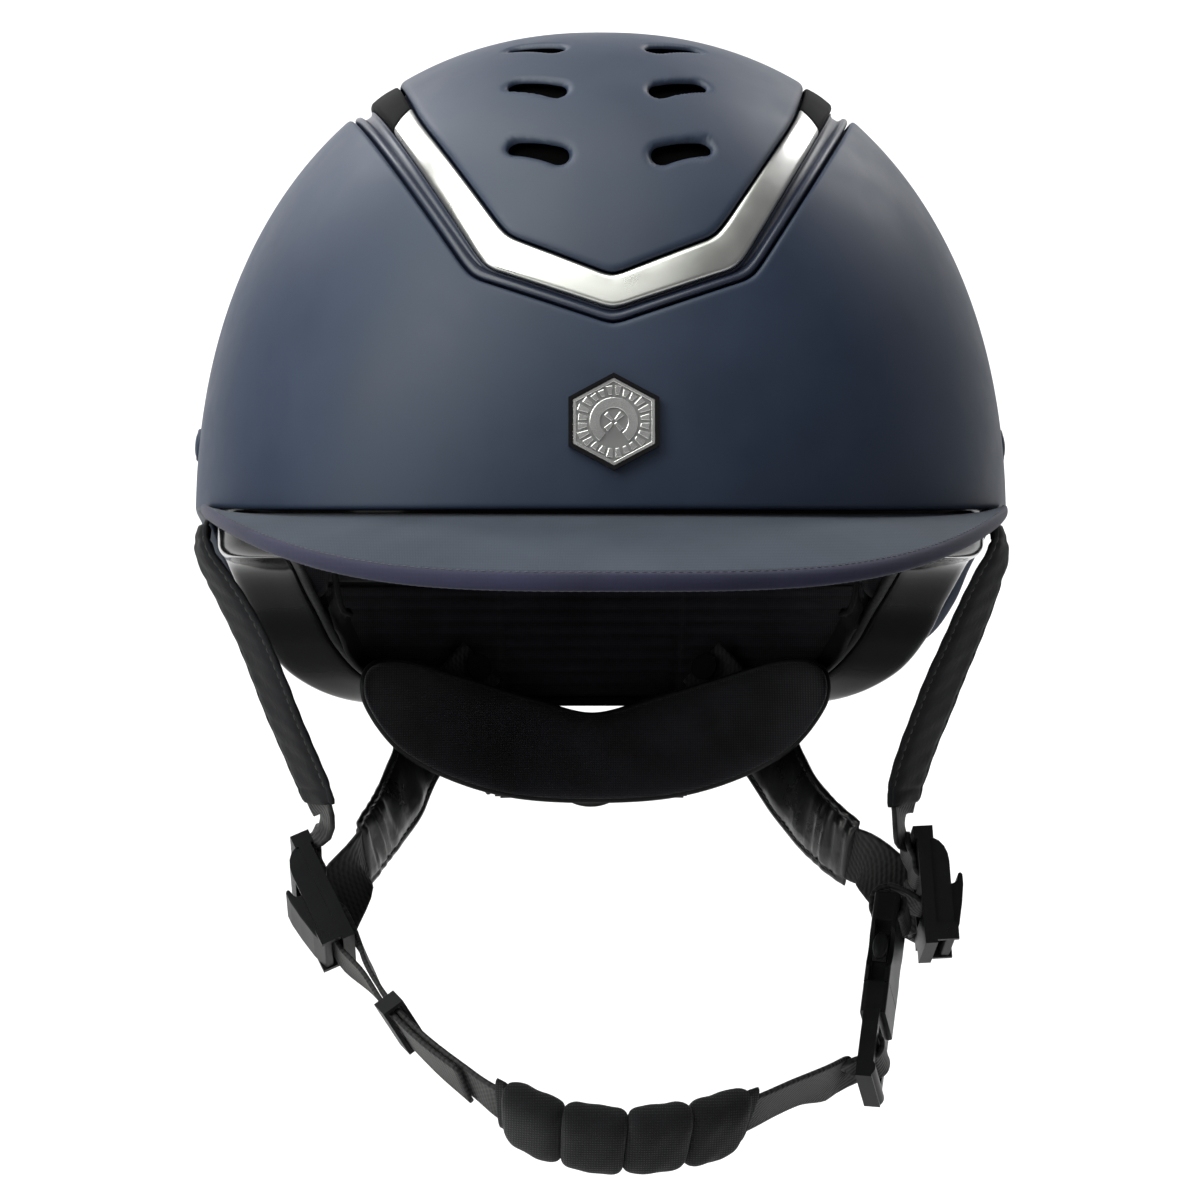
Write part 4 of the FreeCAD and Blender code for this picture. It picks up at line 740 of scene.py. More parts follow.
def peak_point(angle, v, drop):
    """The peak: angle round it, v from the shell to its edge, drop below its top; in millimetres."""
    s, c = np.sin(angle), np.cos(angle)
    x_in = (PEAK_HALF_W - 0.5) * s
    y_in = -125.0 * (1 - np.abs(x_in / 110.0) ** POWER) ** (1 / POWER)
    z_in = PEAK_ROOT_Z + PEAK_ROOT_RISE * (x_in / PEAK_HALF_W) ** 2
    root = egg(np.stack([x_in, y_in, z_in], -1), np.full(len(angle), -5.8 * MM)) / MM
    edge_t = PEAK_EDGE_T - 1.4 * (1 - c)
    out = np.stack([PEAK_HALF_W * s, PEAK_FRONT_Y - PEAK_REACH * c,
                    PEAK_TIP_Z + (PEAK_SIDE_Z - PEAK_TIP_Z) * np.abs(s) ** 3.5 + edge_t], -1)
    root[:, 2] = z_in
    v = np.asarray(v, float)
    p = root * (1 - v)[:, None] + out * v[:, None]
    p[:, 2] += 1.5 * np.sin(math.pi * v) * c
    size = np.array([110.0, 125.0, 135.0])
    outside = ((np.abs(p / size) ** POWER).sum(-1) ** (1 / POWER) - 1) * 115.0
    limit = SHELL_LOW(p[:, 1] * MM) / MM - 0.3 + 2.0 * np.maximum(outside - 0.3, 0)
    p[:, 2] = np.minimum(p[:, 2], limit) - drop * edge_t / PEAK_EDGE_T
    return p


PEAK_ANGLES = np.radians(np.linspace(-PEAK_END, PEAK_END, 241))


def peak_rows(section):
    """Rows from (kind, share of the width or distance from the edge, drop) triples."""
    inner, outer = [peak_point(PEAK_ANGLES, np.full(len(PEAK_ANGLES), v), 0.0) for v in (0.0, 1.0)]
    width = np.linalg.norm(outer - inner, axis=1)
    return [peak_point(PEAK_ANGLES, 1 - value / width if kind == "edge" else
                       value * (1 - (BINDING - 0.2) / width), drop) * MM for kind, value, drop in section]


def peak_sheet(low, high):
    return ([("share", k / 26, low) for k in range(27)] + [("share", k / 8, high) for k in range(8, -1, -1)])


for name, section, material, slot, node_name in (
        ("peak_top_fabric", peak_sheet(0.0, 0.8), "peak", "peak_fabric", "peak_cover"),
        ("peak_under_fabric", peak_sheet(3.4, 4.0), "lining", "peak_lining", "peak_lining"),
        ("peak_edge_binding", [("edge", d, e) for d, e in (
            (2.7, 0.25), (2.6, -0.02), (2.3, -0.22), (1.7, -0.26), (1.1, -0.10), (0.6, 0.28), (0.22, 0.9),
            (0.03, 1.6), (0.0, 2.2), (0.05, 2.8), (0.25, 3.4), (0.7, 3.9), (1.3, 4.15), (1.9, 4.2), (2.4, 4.12),
            (2.7, 3.85))], "binding", "peak_binding", "peak_binding")):
    arc_piece(name, peak_rows(section), material, slot=slot, replaces=(node_name,))


def bead_line(name, points, normals, length, width, height, gap, material):
    """A row of sewn stitches along a line of points: each one a small rounded bar; all in millimetres."""
    length, width, height, gap = length * MM, width * MM, height * MM, gap * MM
    gone = np.concatenate([[0], np.cumsum(np.linalg.norm(np.diff(points, axis=0), axis=1))])
    at = lambda line, a: np.array([np.interp(a, gone, line[:, i]) for i in range(3)])
    verts, faces = [], []
    for k in range(max(int((gone[-1] - length) / (length + gap)), 0)):
        a = length * 0.5 + k * (length + gap)
        p = at(points, a)
        t = unit(at(points, a + length * 0.5) - p)
        n = at(normals, a)
        n = unit(n - t * n.dot(t))
        b = np.cross(t, n)
        faces += shifted(tube_faces(5, 6), len(verts))
        for s, r in ((-0.5, 0.35), (-0.32, 0.9), (0.0, 1.0), (0.32, 0.9), (0.5, 0.35)):
            verts += [p + t * s * length + b * math.cos(w) * r * width / 2
                      + n * (math.sin(w) * r * height / 2 + (r - 1) * height * 0.4) for w in turn(6)]
    make(name, verts, faces, material)


for name, edge, drop, up in (("top", 1.95, -0.30, 1.0), ("under", 1.9, 4.3, -1.0)):
    line = peak_rows([("edge", edge, drop)])[0][4:-4]
    bead_line("peak_stitches_" + name, line, np.tile([0, 0, up], (len(line), 1)), 1.5, 0.42, 0.34, 0.7,
              "thread")


# ---- badge, rivets
def own_material(node_name, material, width=0.0, segments=3):
    """Gives a CAD part its material and, with a width in millimetres, a small bevel."""
    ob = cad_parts[node_name]
    ob.data.materials.clear()
    ob.data.materials.append(mats[material])
    if width:
        bevel(ob, width * MM, segments)


RIVET_Y, RIVET_Z, RIVET_LEAN = -0.008, 0.023, 0.65
RIVET_PROFILE = [(0.0, 1.15), (1.4, 1.1), (2.5, 0.92), (3.1, 0.72), (3.35, 0.55), (3.5, 0.52), (3.7, 0.62),
                 (4.0, 0.6), (4.3, 0.42), (4.4, 0.15), (4.4, -1.4), (0.0, -1.4)]


def rivet_heads():
    """The two side rivets: a low dome with a turned step round it."""
    verts, faces = [], []
    level = SHELL[0] * (1 - (RIVET_Z / SHELL[3]) ** POWER) ** (1 / POWER)
    for side in (-1, 1):
        faces += shifted(grid_faces(len(RIVET_PROFILE), 40, False, True), len(verts))
        for r, h in RIVET_PROFILE:
            for a in turn(40):
                y, z = RIVET_Y + r * MM * math.cos(a), RIVET_Z + r * MM * math.sin(a)
                here = SHELL[0] * (1 - abs(z / SHELL[3]) ** POWER - abs(y / SHELL[1]) ** POWER) ** (1 / POWER)
                lean = RIVET_LEAN * (here - level) if h > -1 else 0.0
                verts.append((side * (level + h * MM + lean), y, z))
    weld(make("side_rivet_heads", verts, faces, "shell", slot="shell_navy", replaces=("side_rivets",)))


rivet_heads()
own_material("badge_bezel", "black_gloss", 0.35)
BADGE_Z, BADGE_W, BADGE_H, BADGE_FACE = 25.3, 22.7, 24.6, 1.15
SHOE_IN, SHOE_OUT, SHOE_GAP = 3.5, 6.1, 0.62


def badge_place(points, level):
    """Points given across and up the badge, in millimetres, at a height above the shell."""
    y = -SHELL[1] * (1 - (BADGE_Z * MM / SHELL[3]) ** POWER) ** (1 / POWER)
    on = np.array([0, y, BADGE_Z * MM])
    out = unit(egg(on[None], 1.0)[0] - egg(on[None], 0.0)[0])
    across = np.array([1.0, 0, 0])
    up = np.cross(out, across)
    return [on + (across * x + up * z + out * level) * MM for x, z in points]


def badge_hexagon(shrink):
    w, h = BADGE_W / 2 - shrink, BADGE_H / 2 - shrink * 1.1
    return [(0, h), (w, h / 2), (w, -h / 2), (0, -h), (-w, -h / 2), (-w, h / 2)]


def badge_bar(a, r0, r1, half):
    """A tapered bar that points outwards from the badge's centre."""
    c, h = math.cos(a), math.sin(a)
    return [(r * c - s * half * k * h, r * h + s * half * k * c)
            for r, s, k in ((r0, -1, 0.7), (r1, -1, 1.3), (r1, 1, 1.3), (r0, 1, 0.7))]


def badge_reach(a, shrink):
    """How far the hexagon's edge is from its centre at an angle."""
    corners = badge_hexagon(shrink)
    best = 99.0
    for (x0, z0), (x1, z1) in zip(corners, corners[1:] + corners[:1]):
        nx, nz = z1 - z0, x0 - x1
        size, along = nx * x0 + nz * z0, nx * math.cos(a) + nz * math.sin(a)
        if size * along > 0:
            best = min(best, size / along)
    return best


def raised(outlines, low, high, name, material, frames=()):
    """Flat raised shapes with upright sides, from closed outlines, and frames between two outlines."""
    verts, faces = [], []
    for outline in outlines:
        faces += shifted(tube_faces(2, len(outline)), len(verts))
        verts += badge_place(outline, low) + badge_place(outline, high)
    for outer, inner in frames:
        faces += shifted(grid_faces(4, len(outer), True, True), len(verts))
        for loop, level in ((outer, low), (outer, high), (inner, high), (inner, low)):
            verts += badge_place(loop, level)
    return make(name, verts, faces, material, smooth=False, slot="badge_silver")


def badge():
    """A dark field under a bright rim, a horseshoe and short rays."""
    raised([badge_hexagon(1.08)], 0.5, BADGE_FACE - 0.45, "badge_field", "badge_dark")
    arc = [math.radians(-54 + 288 * k / 40) for k in range(41)]
    shoe = [(SHOE_OUT * math.cos(a), SHOE_OUT * math.sin(a)) for a in arc]
    shoe += [(SHOE_IN * math.cos(a), SHOE_IN * math.sin(a)) for a in reversed(arc)]
    rays = [badge_bar(a, SHOE_OUT + SHOE_GAP, badge_reach(a, 2.1) - 0.35, 0.68)
            for a in (math.radians(-82.5 + 15 * k) for k in range(24))]
    inner = [badge_bar(math.radians(90 * k + 45), 0.5, SHOE_IN - SHOE_GAP, 0.55) for k in range(4)]
    ob = raised([shoe] + rays + inner, BADGE_FACE - 0.5, BADGE_FACE + 0.12, "badge_relief", "badge",
                frames=[(badge_hexagon(1.08), badge_hexagon(2.0))])
    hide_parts("badge_plate")
    bevel(ob, 0.13 * MM, 2, 30.0)


badge()
# the vent screen under the slots: its own black, deepened as painted shade
own_material("vent_mesh", "screen")
own_material("impact_liner", "foam")
own_material("peak_core", "peak_plastic")
own_material("rivet_washers", "steel", 0.2, 2)


# ---- straps: paths and lofts
def axes_of(up, out):
    up = unit(up)
    out = unit(np.asarray(out, float) - up * np.dot(out, up))
    return out, np.cross(up, out), up


DIVIDER_AT = {1: (89.0, 4, -99.8), -1: (-75.2, 4, -100.8)}
DIVIDER_DOWN = {1: (0.05, -0.30, -0.95), -1: (0.42, -0.36, -0.83)}
BUCKLE_TOP, BUCKLE_DOWN, BUCKLE_OUT = (79.8, 1.0, -103.2), (-0.154, -0.435, -0.888), (0.98, -0.20, 0.0)


def divider_axes(side):
    out, back, up = axes_of([-c for c in DIVIDER_DOWN[side]], (side, 0, 0))
    return out, back * side, up


def at_divider(side, out, back, up):
    o, b, u = divider_axes(side)
    return np.array(DIVIDER_AT[side], float) + o * out + b * back + u * up


def buckle_axes():
    return axes_of([-c for c in BUCKLE_DOWN], BUCKLE_OUT)


def at_buckle(out, back, up):
    o, b, u = buckle_axes()
    return np.array(BUCKLE_TOP, float) + o * out + b * back + u * up


def divider_turn(side, spots):
    """Points through a divider's front slot and round its bars, each with the strap's width direction."""
    return [(at_divider(side, out, 0, up), divider_axes(side)[1]) for out, up in spots]


def buckle_turn(spots):
    """The same, round the buckle's bars."""
    return [(at_buckle(out, 0, up), buckle_axes()[1]) for out, up in spots]


def listed(points, sides):
    return [(np.array(p, float), np.array(s, float)) for p, s in zip(points, sides)]


def frames(path, steps):
    """Smooth points along a strap with its width direction, face normal and length so far."""
    p, s = smooth_line([at for at, _ in path], steps), smooth_line([way for _, way in path], steps)
    t = np.gradient(p, axis=0)
    t /= np.linalg.norm(t, axis=1)[:, None]
    w = s - t * (s * t).sum(1)[:, None]
    w /= np.linalg.norm(w, axis=1)[:, None]
    gone = np.concatenate([[0], np.cumsum(np.linalg.norm(np.diff(p, axis=0), axis=1))])
    return p, w, np.cross(t, w), gone


def loft(name, path, section, material, steps=6, **kw):
    """A strap or sleeve: section(gone, total) gives its outline as (across, out) in millimetres."""
    p, w, n, gone = frames(path, steps)
    verts, uv = [], []
    for i in range(len(p)):
        outline = np.asarray(section(gone[i], gone[-1]), float)
        m = len(outline)
        verts.append((p[i] + outline[:, :1] * w[i] + outline[:, 1:] * n[i]) * MM)
        uv += [(gone[i] * MM, a * MM) for a in outline[:, 0]]
    return make(name, np.concatenate(verts), tube_faces(len(verts), m), material, uv=uv, **kw)


def webbing_section(width, thick):
    """Flat webbing with a slightly thicker, rounded selvedge."""
    a, h = width / 2, thick / 2
    selvedge = [(a, 0.0), (a - 0.08, h * 0.62), (a - 0.35, h), (a - 1.1, h), (a - 1.6, h * 0.82)]
    half = [(-x, y) for x, y in selvedge] + [(0, h * 0.84)] + selvedge[::-1]
    outline = half + [(x, -y) for x, y in reversed(half[1:-1])]
    return lambda gone, total: outline


def sleeve_section(width, thick, creases, wrinkle, phase):
    """A folded leather sleeve: padded middle, sewn channel near each edge, rolled edges, creases."""
    a = width / 2
    half = [(1, 0.0), (0.985, 0.28), (0.94, 0.42), (0.88, 0.44), (0.83, 0.34), (0.78, 0.46), (0.7, 0.78),
            (0.5, 0.95), (0.25, 1)]
    profile = [(-x, h) for x, h in half] + [(0, 1)] + half[::-1]

    def section(gone, total):
        end = min(gone, total - gone)
        hem = 1 - 0.25 * math.exp(-((end - 4.5) / 0.8) ** 2) if total > 20 else 1.0
        close = min(1.0, 0.55 + end / 2.0)
        pull = 1 - 0.02 * (0.5 + 0.5 * math.sin(gone * 0.21 + phase))
        lump = creases * (math.sin(gone * 0.33 + phase) * 0.5 + math.sin(gone * 0.71 + 2 * phase) * 0.3)
        out = []
        for sign in (1, -1):
            row = []
            for x, h in profile:
                fold = wrinkle(gone, total, x * a, sign) * min(1.0, h * 1.4)
                row.append((x * a * pull, sign * (thick / 2 * h * hem * close) + fold * close
                            + lump * h * 0.5 * sign))
            out.append(row)
        return out[0] + out[1][-2:0:-1]
    return section


def front_wrinkle(gone, total, x, sign):
    crease = -0.38 * math.exp(-((x - 2.4 - 1.1 * math.sin(gone * 0.07)) / 0.9) ** 2)
    return sign * crease + 0.12 * math.sin(gone * 0.9 + x * 0.5) * sign


def rear_wrinkle(gone, total, x, sign):
    near = math.exp(-((total - gone - 10) / 11.0) ** 2)
    cross = math.sin(gone * 1.25 + x * 0.22 * sign + math.sin(gone * 0.4)) * 0.42 * near
    soft = math.sin(gone * 0.42 + x * 0.3) * 0.20
    return sign * (cross + soft)


FRONT_ROUTE = {
    1: [(103.4, -8, 30), (104.1, -8, 23), (104.8, -8, 12), (105.1, -8, 7.5), (105.15, -8, 4.8),
        (107.2, -8, 1.4), (108.4, -8, -2.4), (107.9, -8, -7.5), (105.4, -8, -13), (102.6, -7, -20),
        (98.5, -6, -30), (93.9, -4, -41), (90.6, -2, -50), (87.2, 0, -59), (84.4, 1.5, -68),
        (83.2, 2.5, -75), (83.0, 3.0, -79)],
    -1: [(-103.4, -8, 30), (-104.1, -8, 23), (-104.8, -8, 12), (-105.1, -8, 7.5), (-105.15, -8, 4.8),
         (-107.0, -8, 1.4), (-108.0, -8, -2.4), (-106.9, -8, -7.5), (-103.7, -8, -13), (-99.6, -7, -20),
         (-94.5, -6, -30), (-90.0, -4, -41), (-86.6, -2, -50), (-82.8, 0, -59), (-79.0, 1.5, -68),
         (-76.6, 2.5, -74.5), (-75.4, 3.0, -79)],
}
FRONT_TWIST = {1: (0, 0, 0, 0, 0, 5, 13, 22, 27, 31, 34, 35, 35, 34, 32, 27, 17),
               -1: (0, 0, 0, 0, 0, 3, 9, 15, 21, 24, 26, 27, 27, 27, 27, 24, 16)}
FRONT_SLEEVE = (5, 15)
REAR_ROUTE = {
    1: [(32.0, 88.0, -37), (36.2, 85.2, -41.5), (40.0, 81.9, -46.5), (43.2, 80.6, -51), (46.6, 78, -56),
        (51, 73, -63), (55, 64, -71), (60, 53, -79), (66, 41, -85.6), (71.5, 33, -90), (77, 28, -93)],
    -1: [(-32.0, 88.0, -37), (-36.2, 85.2, -41.5), (-40.0, 81.9, -46.5), (-43.2, 80.6, -51),
         (-46.6, 78, -56), (-50.4, 73, -63), (-53, 64, -71), (-57.5, 53, -79), (-62, 41, -85.6),
         (-65.2, 33, -90), (-67.5, 28, -93.4)],
}
REAR_SIDES = [(0.8, -0.25, 0.5), (0.78, -0.28, 0.52), (0.75, -0.28, 0.56), (0.7, -0.26, 0.62),
              (0.62, -0.25, 0.7), (0.5, -0.22, 0.82), (0.35, -0.2, 0.92), (0.22, -0.2, 0.97),
              (0.12, -0.2, 1), (0.06, -0.2, 1), (0.0, -0.15, 1)]
REAR_SLEEVE = (4, 9)


def front_path(side):
    turns = [math.radians(a) for a in FRONT_TWIST[side]]
    path = listed(FRONT_ROUTE[side], [(side * math.sin(a), math.cos(a), 0) for a in turns])
    return path + divider_turn(side, ((-4.0, 17.4), (-3.9, 12.4), (-2.6, 8.8), (-2.5, 5.6), (-1.2, 3.9),
                                      (1.2, 3.9), (2.5, 5.6), (2.7, 8.2), (2.7, 11.6)))


def rear_path(side):
    path = listed(REAR_ROUTE[side], [(side * x, y, z) for x, y, z in REAR_SIDES])
    return path + [(at_divider(side, out, back, 0), divider_axes(side)[2]) for out, back in (
        (-0.4, 23), (-2.7, 17.6), (-2.7, 13.6), (-0.2, 12.0), (2.6, 13.4), (2.8, 17.4), (1.6, 22.0))]


def strap_stitches(name, path, steps, across, out):
    """A stitch row on a sleeve's face, from end to end."""
    p, w, n, gone = frames(path, steps)
    at = (gone >= 3.0) & (gone <= gone[-1] - 2.0)
    bead_line(name, (p + w * across + n * out)[at] * MM, n[at] * (1 if out > 0 else -1), 1.7, 0.45, 0.4, 0.8,
              "black_thread")


def strap_pair(place, word, path, sleeve, steps, outline, material, seam, marks):
    """A strap's webbing, its padded sleeve and the four stitch rows along the sleeve."""
    loft(place + "_strap_" + word, path, webbing_section(15.8, WEBBING_T), "web", slot="webbing",
         replaces=(place + "_webbing_" + word,))
    path = path[sleeve[0]:sleeve[1] + 1]
    cover = loft(place + "_cover_" + word, path, outline, material, steps=steps, slot=STRAP_SLOT[material],
                 replaces=(place + "_sleeve_" + word,))
    for k, across in enumerate((-8.6, 8.6)):
        for out, mark in zip((seam, -seam), marks):
            strap_stitches("%s_seam_%s_%d%s" % (place, word, k, mark), path, steps, across, out)


WEBBING_T = 1.35
STRAP_SLOT = {"leather": "strap_leather", "rear_leather": "rear_leather"}
for side, word in ((1, "left"), (-1, "right")):
    strap_pair("front", word, front_path(side), FRONT_SLEEVE, 12,
               sleeve_section(20.8, 3.7, 0.08, front_wrinkle, 0.7 * side), "leather", 0.78, ("a", "b"))
    strap_pair("rear", word, rear_path(side), REAR_SLEEVE, 14,
               sleeve_section(20.8, 3.4, 0.22, rear_wrinkle, 1.1 * side), "rear_leather", 0.72, ("", "_back"))

# ---- chin strap
CHIN_ROUTE = [(-64.4, -2.3, -115.0), (-61.0, -12.0, -122.0), (-54.5, -24.0, -130.5),
              (-45.5, -36.0, -138.8), (-35.5, -46.0, -146.2), (-28.0, -52.5, -151.2),
              (-15.0, -58.5, -157.2), (0.0, -61.0, -160.2), (13.0, -60.0, -160.2),
              (26.0, -56.0, -158.0), (38.0, -49.5, -154.6), (48.0, -41.0, -151.0),
              (56.5, -32.0, -148.6)]
CHIN_SIDES = [(0.15, 0.85, -0.45), (0.25, 0.8, -0.5), (0.3, 0.75, -0.55), (0.3, 0.7, -0.6),
              (0.25, 0.7, -0.65), (0.2, 0.7, -0.7), (0.1, 0.72, -0.7), (0, 0.72, -0.7),
              (0, 0.72, -0.7), (-0.1, 0.72, -0.7), (-0.2, 0.7, -0.7), (-0.25, 0.7, -0.65),
              (-0.2, 0.75, -0.6)]
CHIN_PAD, TAIL_POINTS = (5, 10), 5


def chin_path():
    """The tail, round the right divider's bar, under the chin and through the ladder frame."""
    main = listed(CHIN_ROUTE, CHIN_SIDES)
    n = frames(main, 1)[2]
    tail = [(main[i][0] - 1.8 * n[i], main[i][1]) for i in range(TAIL_POINTS - 1, 0, -1)]
    bar = divider_turn(-1, ((2.6, -17.2), (2.7, -9.5), (2.5, -6.6), (1.2, -4.6), (-1.2, -4.6), (-2.5, -6.6),
                            (-2.8, -9.5)))
    return tail + bar + main + buckle_turn(((-8.2, -50.8), (-4.6, -48.6), (-2.0, -47.4), (1.4, -46.9),
                                            (3.2, -45.0), (3.2, -42.0), (1.4, -40.2), (-1.4, -40.0)))


chin_strap = loft("chin_strap", chin_path(), webbing_section(14.8, WEBBING_T), "web", body=None,
                  slot="webbing", replaces=("chin_webbing",))
CHIN_LOBES, CHIN_TAB, CHIN_HALF_W, CHIN_HALF_T = 4, 2.8, 11.6, 5.2


def chin_pad_section(gone, total):
    """The padded sleeve: four pillows between deep sewn necks, and a flat tab at each end."""
    at = (gone - CHIN_TAB) / (total - 2 * CHIN_TAB) * CHIN_LOBES
    inside = 0 < at < CHIN_LOBES
    pillow = max(0.0, 1 - abs(2 * (at % 1.0) - 1) ** 5) ** 0.5 if inside else 0.0
    tilt = 0.5 * math.sin(2.1 * int(at) + 1.0)
    full = 0.26 + 0.74 * pillow
    wide = CHIN_HALF_W - (1.5 * (1 - pillow) if inside else 0.4)
    outline = []
    for a in turn(40):
        c, h = math.cos(a), math.sin(a)
        x = math.copysign(abs(c) ** 0.6, c) * wide + tilt * pillow
        y = math.copysign(abs(h) ** 0.8, h) * CHIN_HALF_T * full
        outline.append((x, y + 0.12 * pillow * math.sin(gone * 0.9 + x * 0.5)))
    return outline


loft("chin_cushion", listed(CHIN_ROUTE, CHIN_SIDES)[CHIN_PAD[0]:CHIN_PAD[1] + 1],
               chin_pad_section, "chin", steps=44, slot="chin_fabric", replaces=("chin_pad",))

# the sewn loop from the left divider's bar down and round the socket's bar
loft("buckle_web_loop", divider_turn(1, ((2.7, -12.5), (2.7, -9.5), (2.5, -6.6), (1.2, -4.6), (-1.4, -3.9)))
     + buckle_turn(((2.6, 2.9), (0.0, 3.4), (-2.8, 2.6), (-4.4, 0.4), (-4.5, -2.2), (-4.0, -4.4), (-2.4, -5.2),
                    (2.4, -5.2), (4.0, -4.4), (4.5, -2.2), (4.2, 0.4))),
     webbing_section(14.8, WEBBING_T), "web", slot="webbing", replaces=("buckle_loop",))

# ---- nape cradle
NAPE_OUTLINE = [(0, -52.6), (18, -48.0), (36, -42.6), (52, -37.4), (61, -36.8), (65.0, -40.5), (64.0, -49.0),
                (55.0, -61.2), (40.0, -69.8), (22.0, -75.0), (0, -76.4)]
NAPE_T, PIPING_R = 6.5, 1.15


def cradle_y(x, z, off):
    a, b, c = [reach + off for reach in CRADLE]
    return b * np.maximum(1 - np.abs(x / a) ** POWER - np.abs(z / c) ** POWER, 1e-6) ** (1 / POWER)


def nape_outline():
    half = NAPE_OUTLINE[1:-1]
    loop = [NAPE_OUTLINE[0]] + half + [NAPE_OUTLINE[-1]] + [(-x, z) for x, z in reversed(half)]
    fine = smooth_line(loop[-2:] + loop + loop[:3], 14)
    return fine[2 * 14:(2 + len(loop)) * 14]


def nape_halves(count=90):
    """The outline's upper and lower halves, each from the left tip to the right, evenly spaced."""
    outline = nape_outline()
    right, left = int(np.argmax(outline[:, 0])), int(np.argmin(outline[:, 0]))
    upper = np.vstack([outline[left:], outline[:right + 1]])
    lower = outline[right:left + 1][::-1]
    halves = []
    for half in (upper, lower):
        gone = np.concatenate([[0], np.cumsum(np.linalg.norm(np.diff(half, axis=0), axis=1))])
        even = np.linspace(0, gone[-1], count)
        halves.append(np.stack([np.interp(even, gone, half[:, k]) for k in (0, 1)], -1))
    return halves


def nape_cushion():
    """The pad: crowned, pulled in to a corded edge, quilted by a few shallow creases."""
    upper, lower = nape_halves()
    middle = (upper + lower) / 2 * (0.88, 1.0)
    outline, spine = np.vstack([upper, lower[-2:0:-1]]), np.vstack([middle, middle[-2:0:-1]])
    rows = []
    shares = list(np.linspace(0.0, 0.88, 20)) + [0.92, 0.95, 0.975, 0.99]
    for face in (1, -1):
        for s in (shares if face > 0 else [1.0] + shares[::-1]):
            at = spine + (outline - spine) * s
            full = max(0.0, 1 - s ** 5) ** 0.5
            crease = 0.35 * np.exp(-((at[:, 0] + 0.55 * at[:, 1] - 6.0) / 2.2) ** 2)
            crease += 0.30 * np.exp(-((at[:, 0] - 0.9 * at[:, 1] - 84.0) / 2.6) ** 2)
            crease += 0.25 * np.sin(at[:, 0] * 0.21) * np.sin(at[:, 1] * 0.33)
            half_t = 0.5 + (NAPE_T / 2 - 0.6) * full - crease * full * (face > 0)
            y = cradle_y(at[:, 0], at[:, 1], NAPE_T / 2 - face * half_t)
            rows.append(np.stack([at[:, 0], y, at[:, 1]], -1) * MM)
    ob = make("nape_cushion", np.concatenate(rows), grid_faces(len(rows), len(outline), False, True), "nape",
              body="cradle", slot="nape_fabric", replaces=("nape_pad",))
    weld(ob)


def nape_piping():
    """A round bead along the pad's edge."""
    edge = nape_outline()
    p = np.stack([edge[:, 0], cradle_y(edge[:, 0], edge[:, 1], NAPE_T / 2), edge[:, 1]], -1) * MM
    t = np.roll(p, -1, 0) - np.roll(p, 1, 0)
    t /= np.linalg.norm(t, axis=1)[:, None]
    b = np.cross(t, np.tile([0.0, 1.0, 0.0], (len(p), 1)))
    b /= np.linalg.norm(b, axis=1)[:, None]
    n = np.cross(b, t)
    rows = [p + PIPING_R * MM * (math.cos(a) * n + math.sin(a) * b) for a in turn(10)]
    ring_piece("nape_piping", rows, "piping", body="cradle", slot="nape_fabric")


nape_cushion()
nape_piping()

DIAL_Z, RACK_LEVEL, HOUSING_X = -66.0, 6.1, 28.0
ARM_ROUTE = [(37, -60.5, 9.4), (43, -57.5, 9.0), (52, -51.0, 9.0), (60, -43.5, 9.0),
             (65.4, -37.0, 9.0), (69.6, -30.0, 7.8), (72.0, -20.0, 3.6), (73.2, -8.0, 2.4), (73.0, 2.0, 1.4)]
ARM_KNEE_DROP = 3.4


def arm_path(side):
    points = [(side * (HOUSING_X + 1.2), 92.1, DIAL_Z + side * RACK_LEVEL)]
    for i, (x, z, off) in enumerate(ARM_ROUTE):
        z -= ARM_KNEE_DROP if i == 0 and side < 0 else 0.0
        points.append((side * x, float(cradle_y(x, z, off)), z))
    return listed(points, [(0, 0, 1.0)] + [(side * 0.35, 0, 1.0)] * 5 + [(side * 0.1, -0.5, 1.0)]
                  + [(0, -0.9, 0.5)] * 3)


for side, word in ((1, "left"), (-1, "right")):
    path = arm_path(side)
    arm = loft("flex_arm_" + word, path, webbing_section(7.8, 1.5), "arm", steps=5, body=None,
               slot="nylon", replaces=("cradle_arm_" + word,))
    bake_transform(arm)

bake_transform(chin_strap)

# ---- dividers and buckle: the moulded covers
CAM_PROFILE = [(4.4, -15.2), (6.6, -15.3), (8.2, -11.0), (9.4, -5.0), (10.1, 0.0), (10.1, 2.8), (9.7, 3.5),
               (8.9, 3.3), (8.4, 1.0), (7.2, 0.5), (4.2, 0.2), (3.8, -3.0), (3.7, -12.0), (3.9, -14.2)]
HOOD_OUTER = [(2.8, 13.0), (4.2, 12.2), (5.5, 10.6), (6.3, 8.6), (6.6, 6.4)]
HOOD_SIDE, HOOD_FOOT = [(6.6, -10.7), (1.6, -10.7)], [(6.6, 4.2), (5.1, 4.2)]
HOOD_CHEEK = [(1.6, 6.4), (1.6, 8.6), (1.6, 10.6), (1.6, 12.2), (1.6, 13.0)]
HOOD_WALL = [(5.1, 6.2), (4.9, 8.2), (4.2, 10.0), (3.8, 11.2), (2.2, 12.6)]
HOOD_BACK, HOOD_STEP, CAM_BACK_REACH = (11.0, 9.8), 0.02, 9.5
THUMB_W, THUMB_H, THUMB_BACK, THUMB_UP = 2.0, 3.9, 10.5, -16.0


def moulding(name, side, stations, width, body, **kw):
    """A closed shape on a divider through outlines given at stations from front to back."""
    verts = [at_divider(side, out, back, up) * MM for back, outline in stations for out, up in outline]
    faces = tube_faces(len(stations), len(stations[0][1]))
    ob = make(name, verts, faces, "divider", body=body, smooth=False, slot="divider_plastic", **kw)
    bevel(ob, width * MM, 3, 32.0)


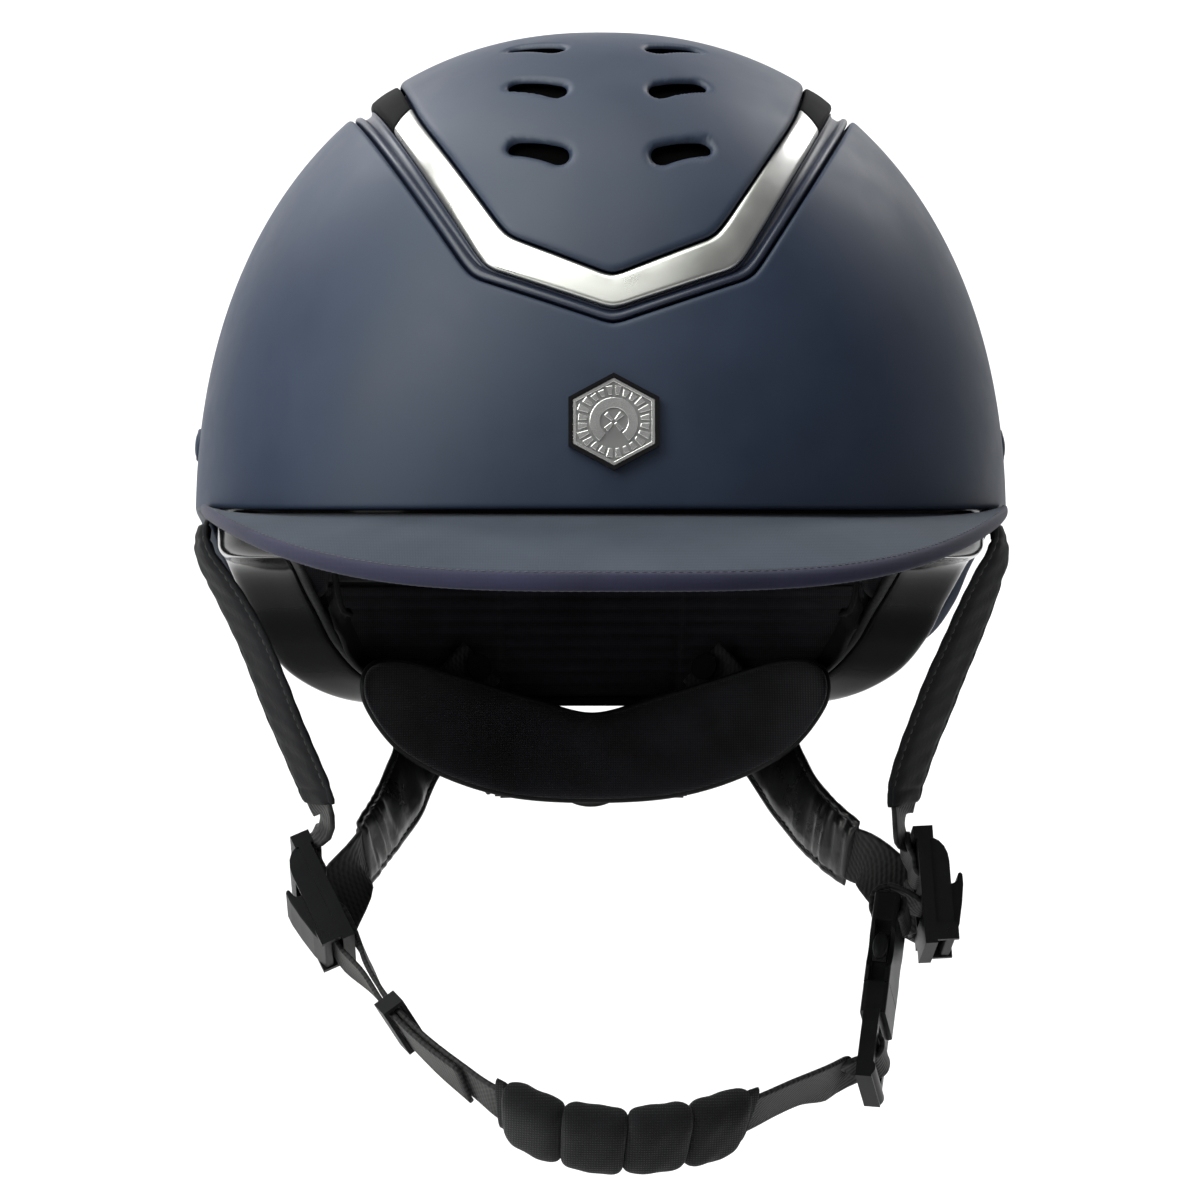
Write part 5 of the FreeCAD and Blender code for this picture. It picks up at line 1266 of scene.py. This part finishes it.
def divider_covers(side, word):
    """The fuller outline of the cam lever, and the hood over the front slot."""
    moulding("divider_cam_" + word, side, [(b, CAM_PROFILE) for b in (-CAM_BACK_REACH, CAM_BACK_REACH)], 0.5,
             "lever_" + word, replaces=("divider_lever_" + word,))
    full, wall = HOOD_OUTER + HOOD_SIDE + HOOD_CHEEK, HOOD_OUTER + HOOD_FOOT + HOOD_WALL
    a, b = HOOD_BACK
    step = b - HOOD_STEP
    moulding("divider_hood_" + word, side,
             [(-a, full), (-b, full), (-step, wall), (step, wall), (b, full), (a, full)], 0.35, "shell")


def thumb_pad(sign, word):
    """The raised oval on a prong's finger pad."""
    rings = [(1.0, -0.4), (1.0, 0.25), (0.94, 0.62), (0.8, 0.92), (0.55, 1.12), (0.25, 1.2)]
    verts = [at_buckle(THUMB_W * share * math.cos(a), sign * (THUMB_BACK + rise),
                       THUMB_UP + THUMB_H * share * math.sin(a)) * MM
             for share, rise in rings for a in turn(32)]
    make("buckle_thumb_" + word, verts, tube_faces(len(rings), 32), "buckle", body="prong_" + word,
         slot="buckle_plastic")


for side, word in ((1, "left"), (-1, "right")):
    divider_covers(side, word)
for sign, word in ((-1, "front"), (1, "rear")):
    thumb_pad(sign, word)

# ---- CAD parts that keep their shape
for names, material, width in (
        ("cradle_housing", "nylon", 0.8), ("cradle_cover", "nylon", 0.7), ("dial_knob", "rubber", 0.35),
        ("dial_pinion", "nylon", 0.0), ("rack_left rack_right", "nylon", 0.1), ("cover_screws", "steel", 0.2),
        ("dial_screw", "steel", 0.25), ("arm_studs rear_anchors", "arm", 0.3),
        ("divider_body_left divider_body_right", "divider", 0.55),
        ("divider_pin_left divider_pin_right", "divider", 0.2), ("strap_keeper", "divider", 0.4),
        ("buckle_socket", "buckle", 0.6), ("buckle_plug", "buckle", 0.9),
        ("buckle_prong_front buckle_prong_rear", "buckle", 0.35)):
    for name in names.split():
        own_material(name, material, width)


# ---- floor
def studio_floor():
    """A pale floor that curves up into a backdrop."""
    level, back, bend = -0.30, 2.8, 0.9        # metres
    profile = [(-3.0, level), (0.0, level), (1.2, level)]
    profile += [(back - bend + bend * math.sin(a), level + bend - bend * math.cos(a))
                for a in np.linspace(0, math.pi / 2, 14)]
    profile += [(back, 2.2), (back, 3.5)]
    xs = np.linspace(-4.0, 4.0, 9)
    verts = [(x, y, z) for y, z in profile for x in xs]
    make("studio_floor", verts, grid_faces(len(profile), len(xs), False, False), "floor", body=None)


studio_floor()
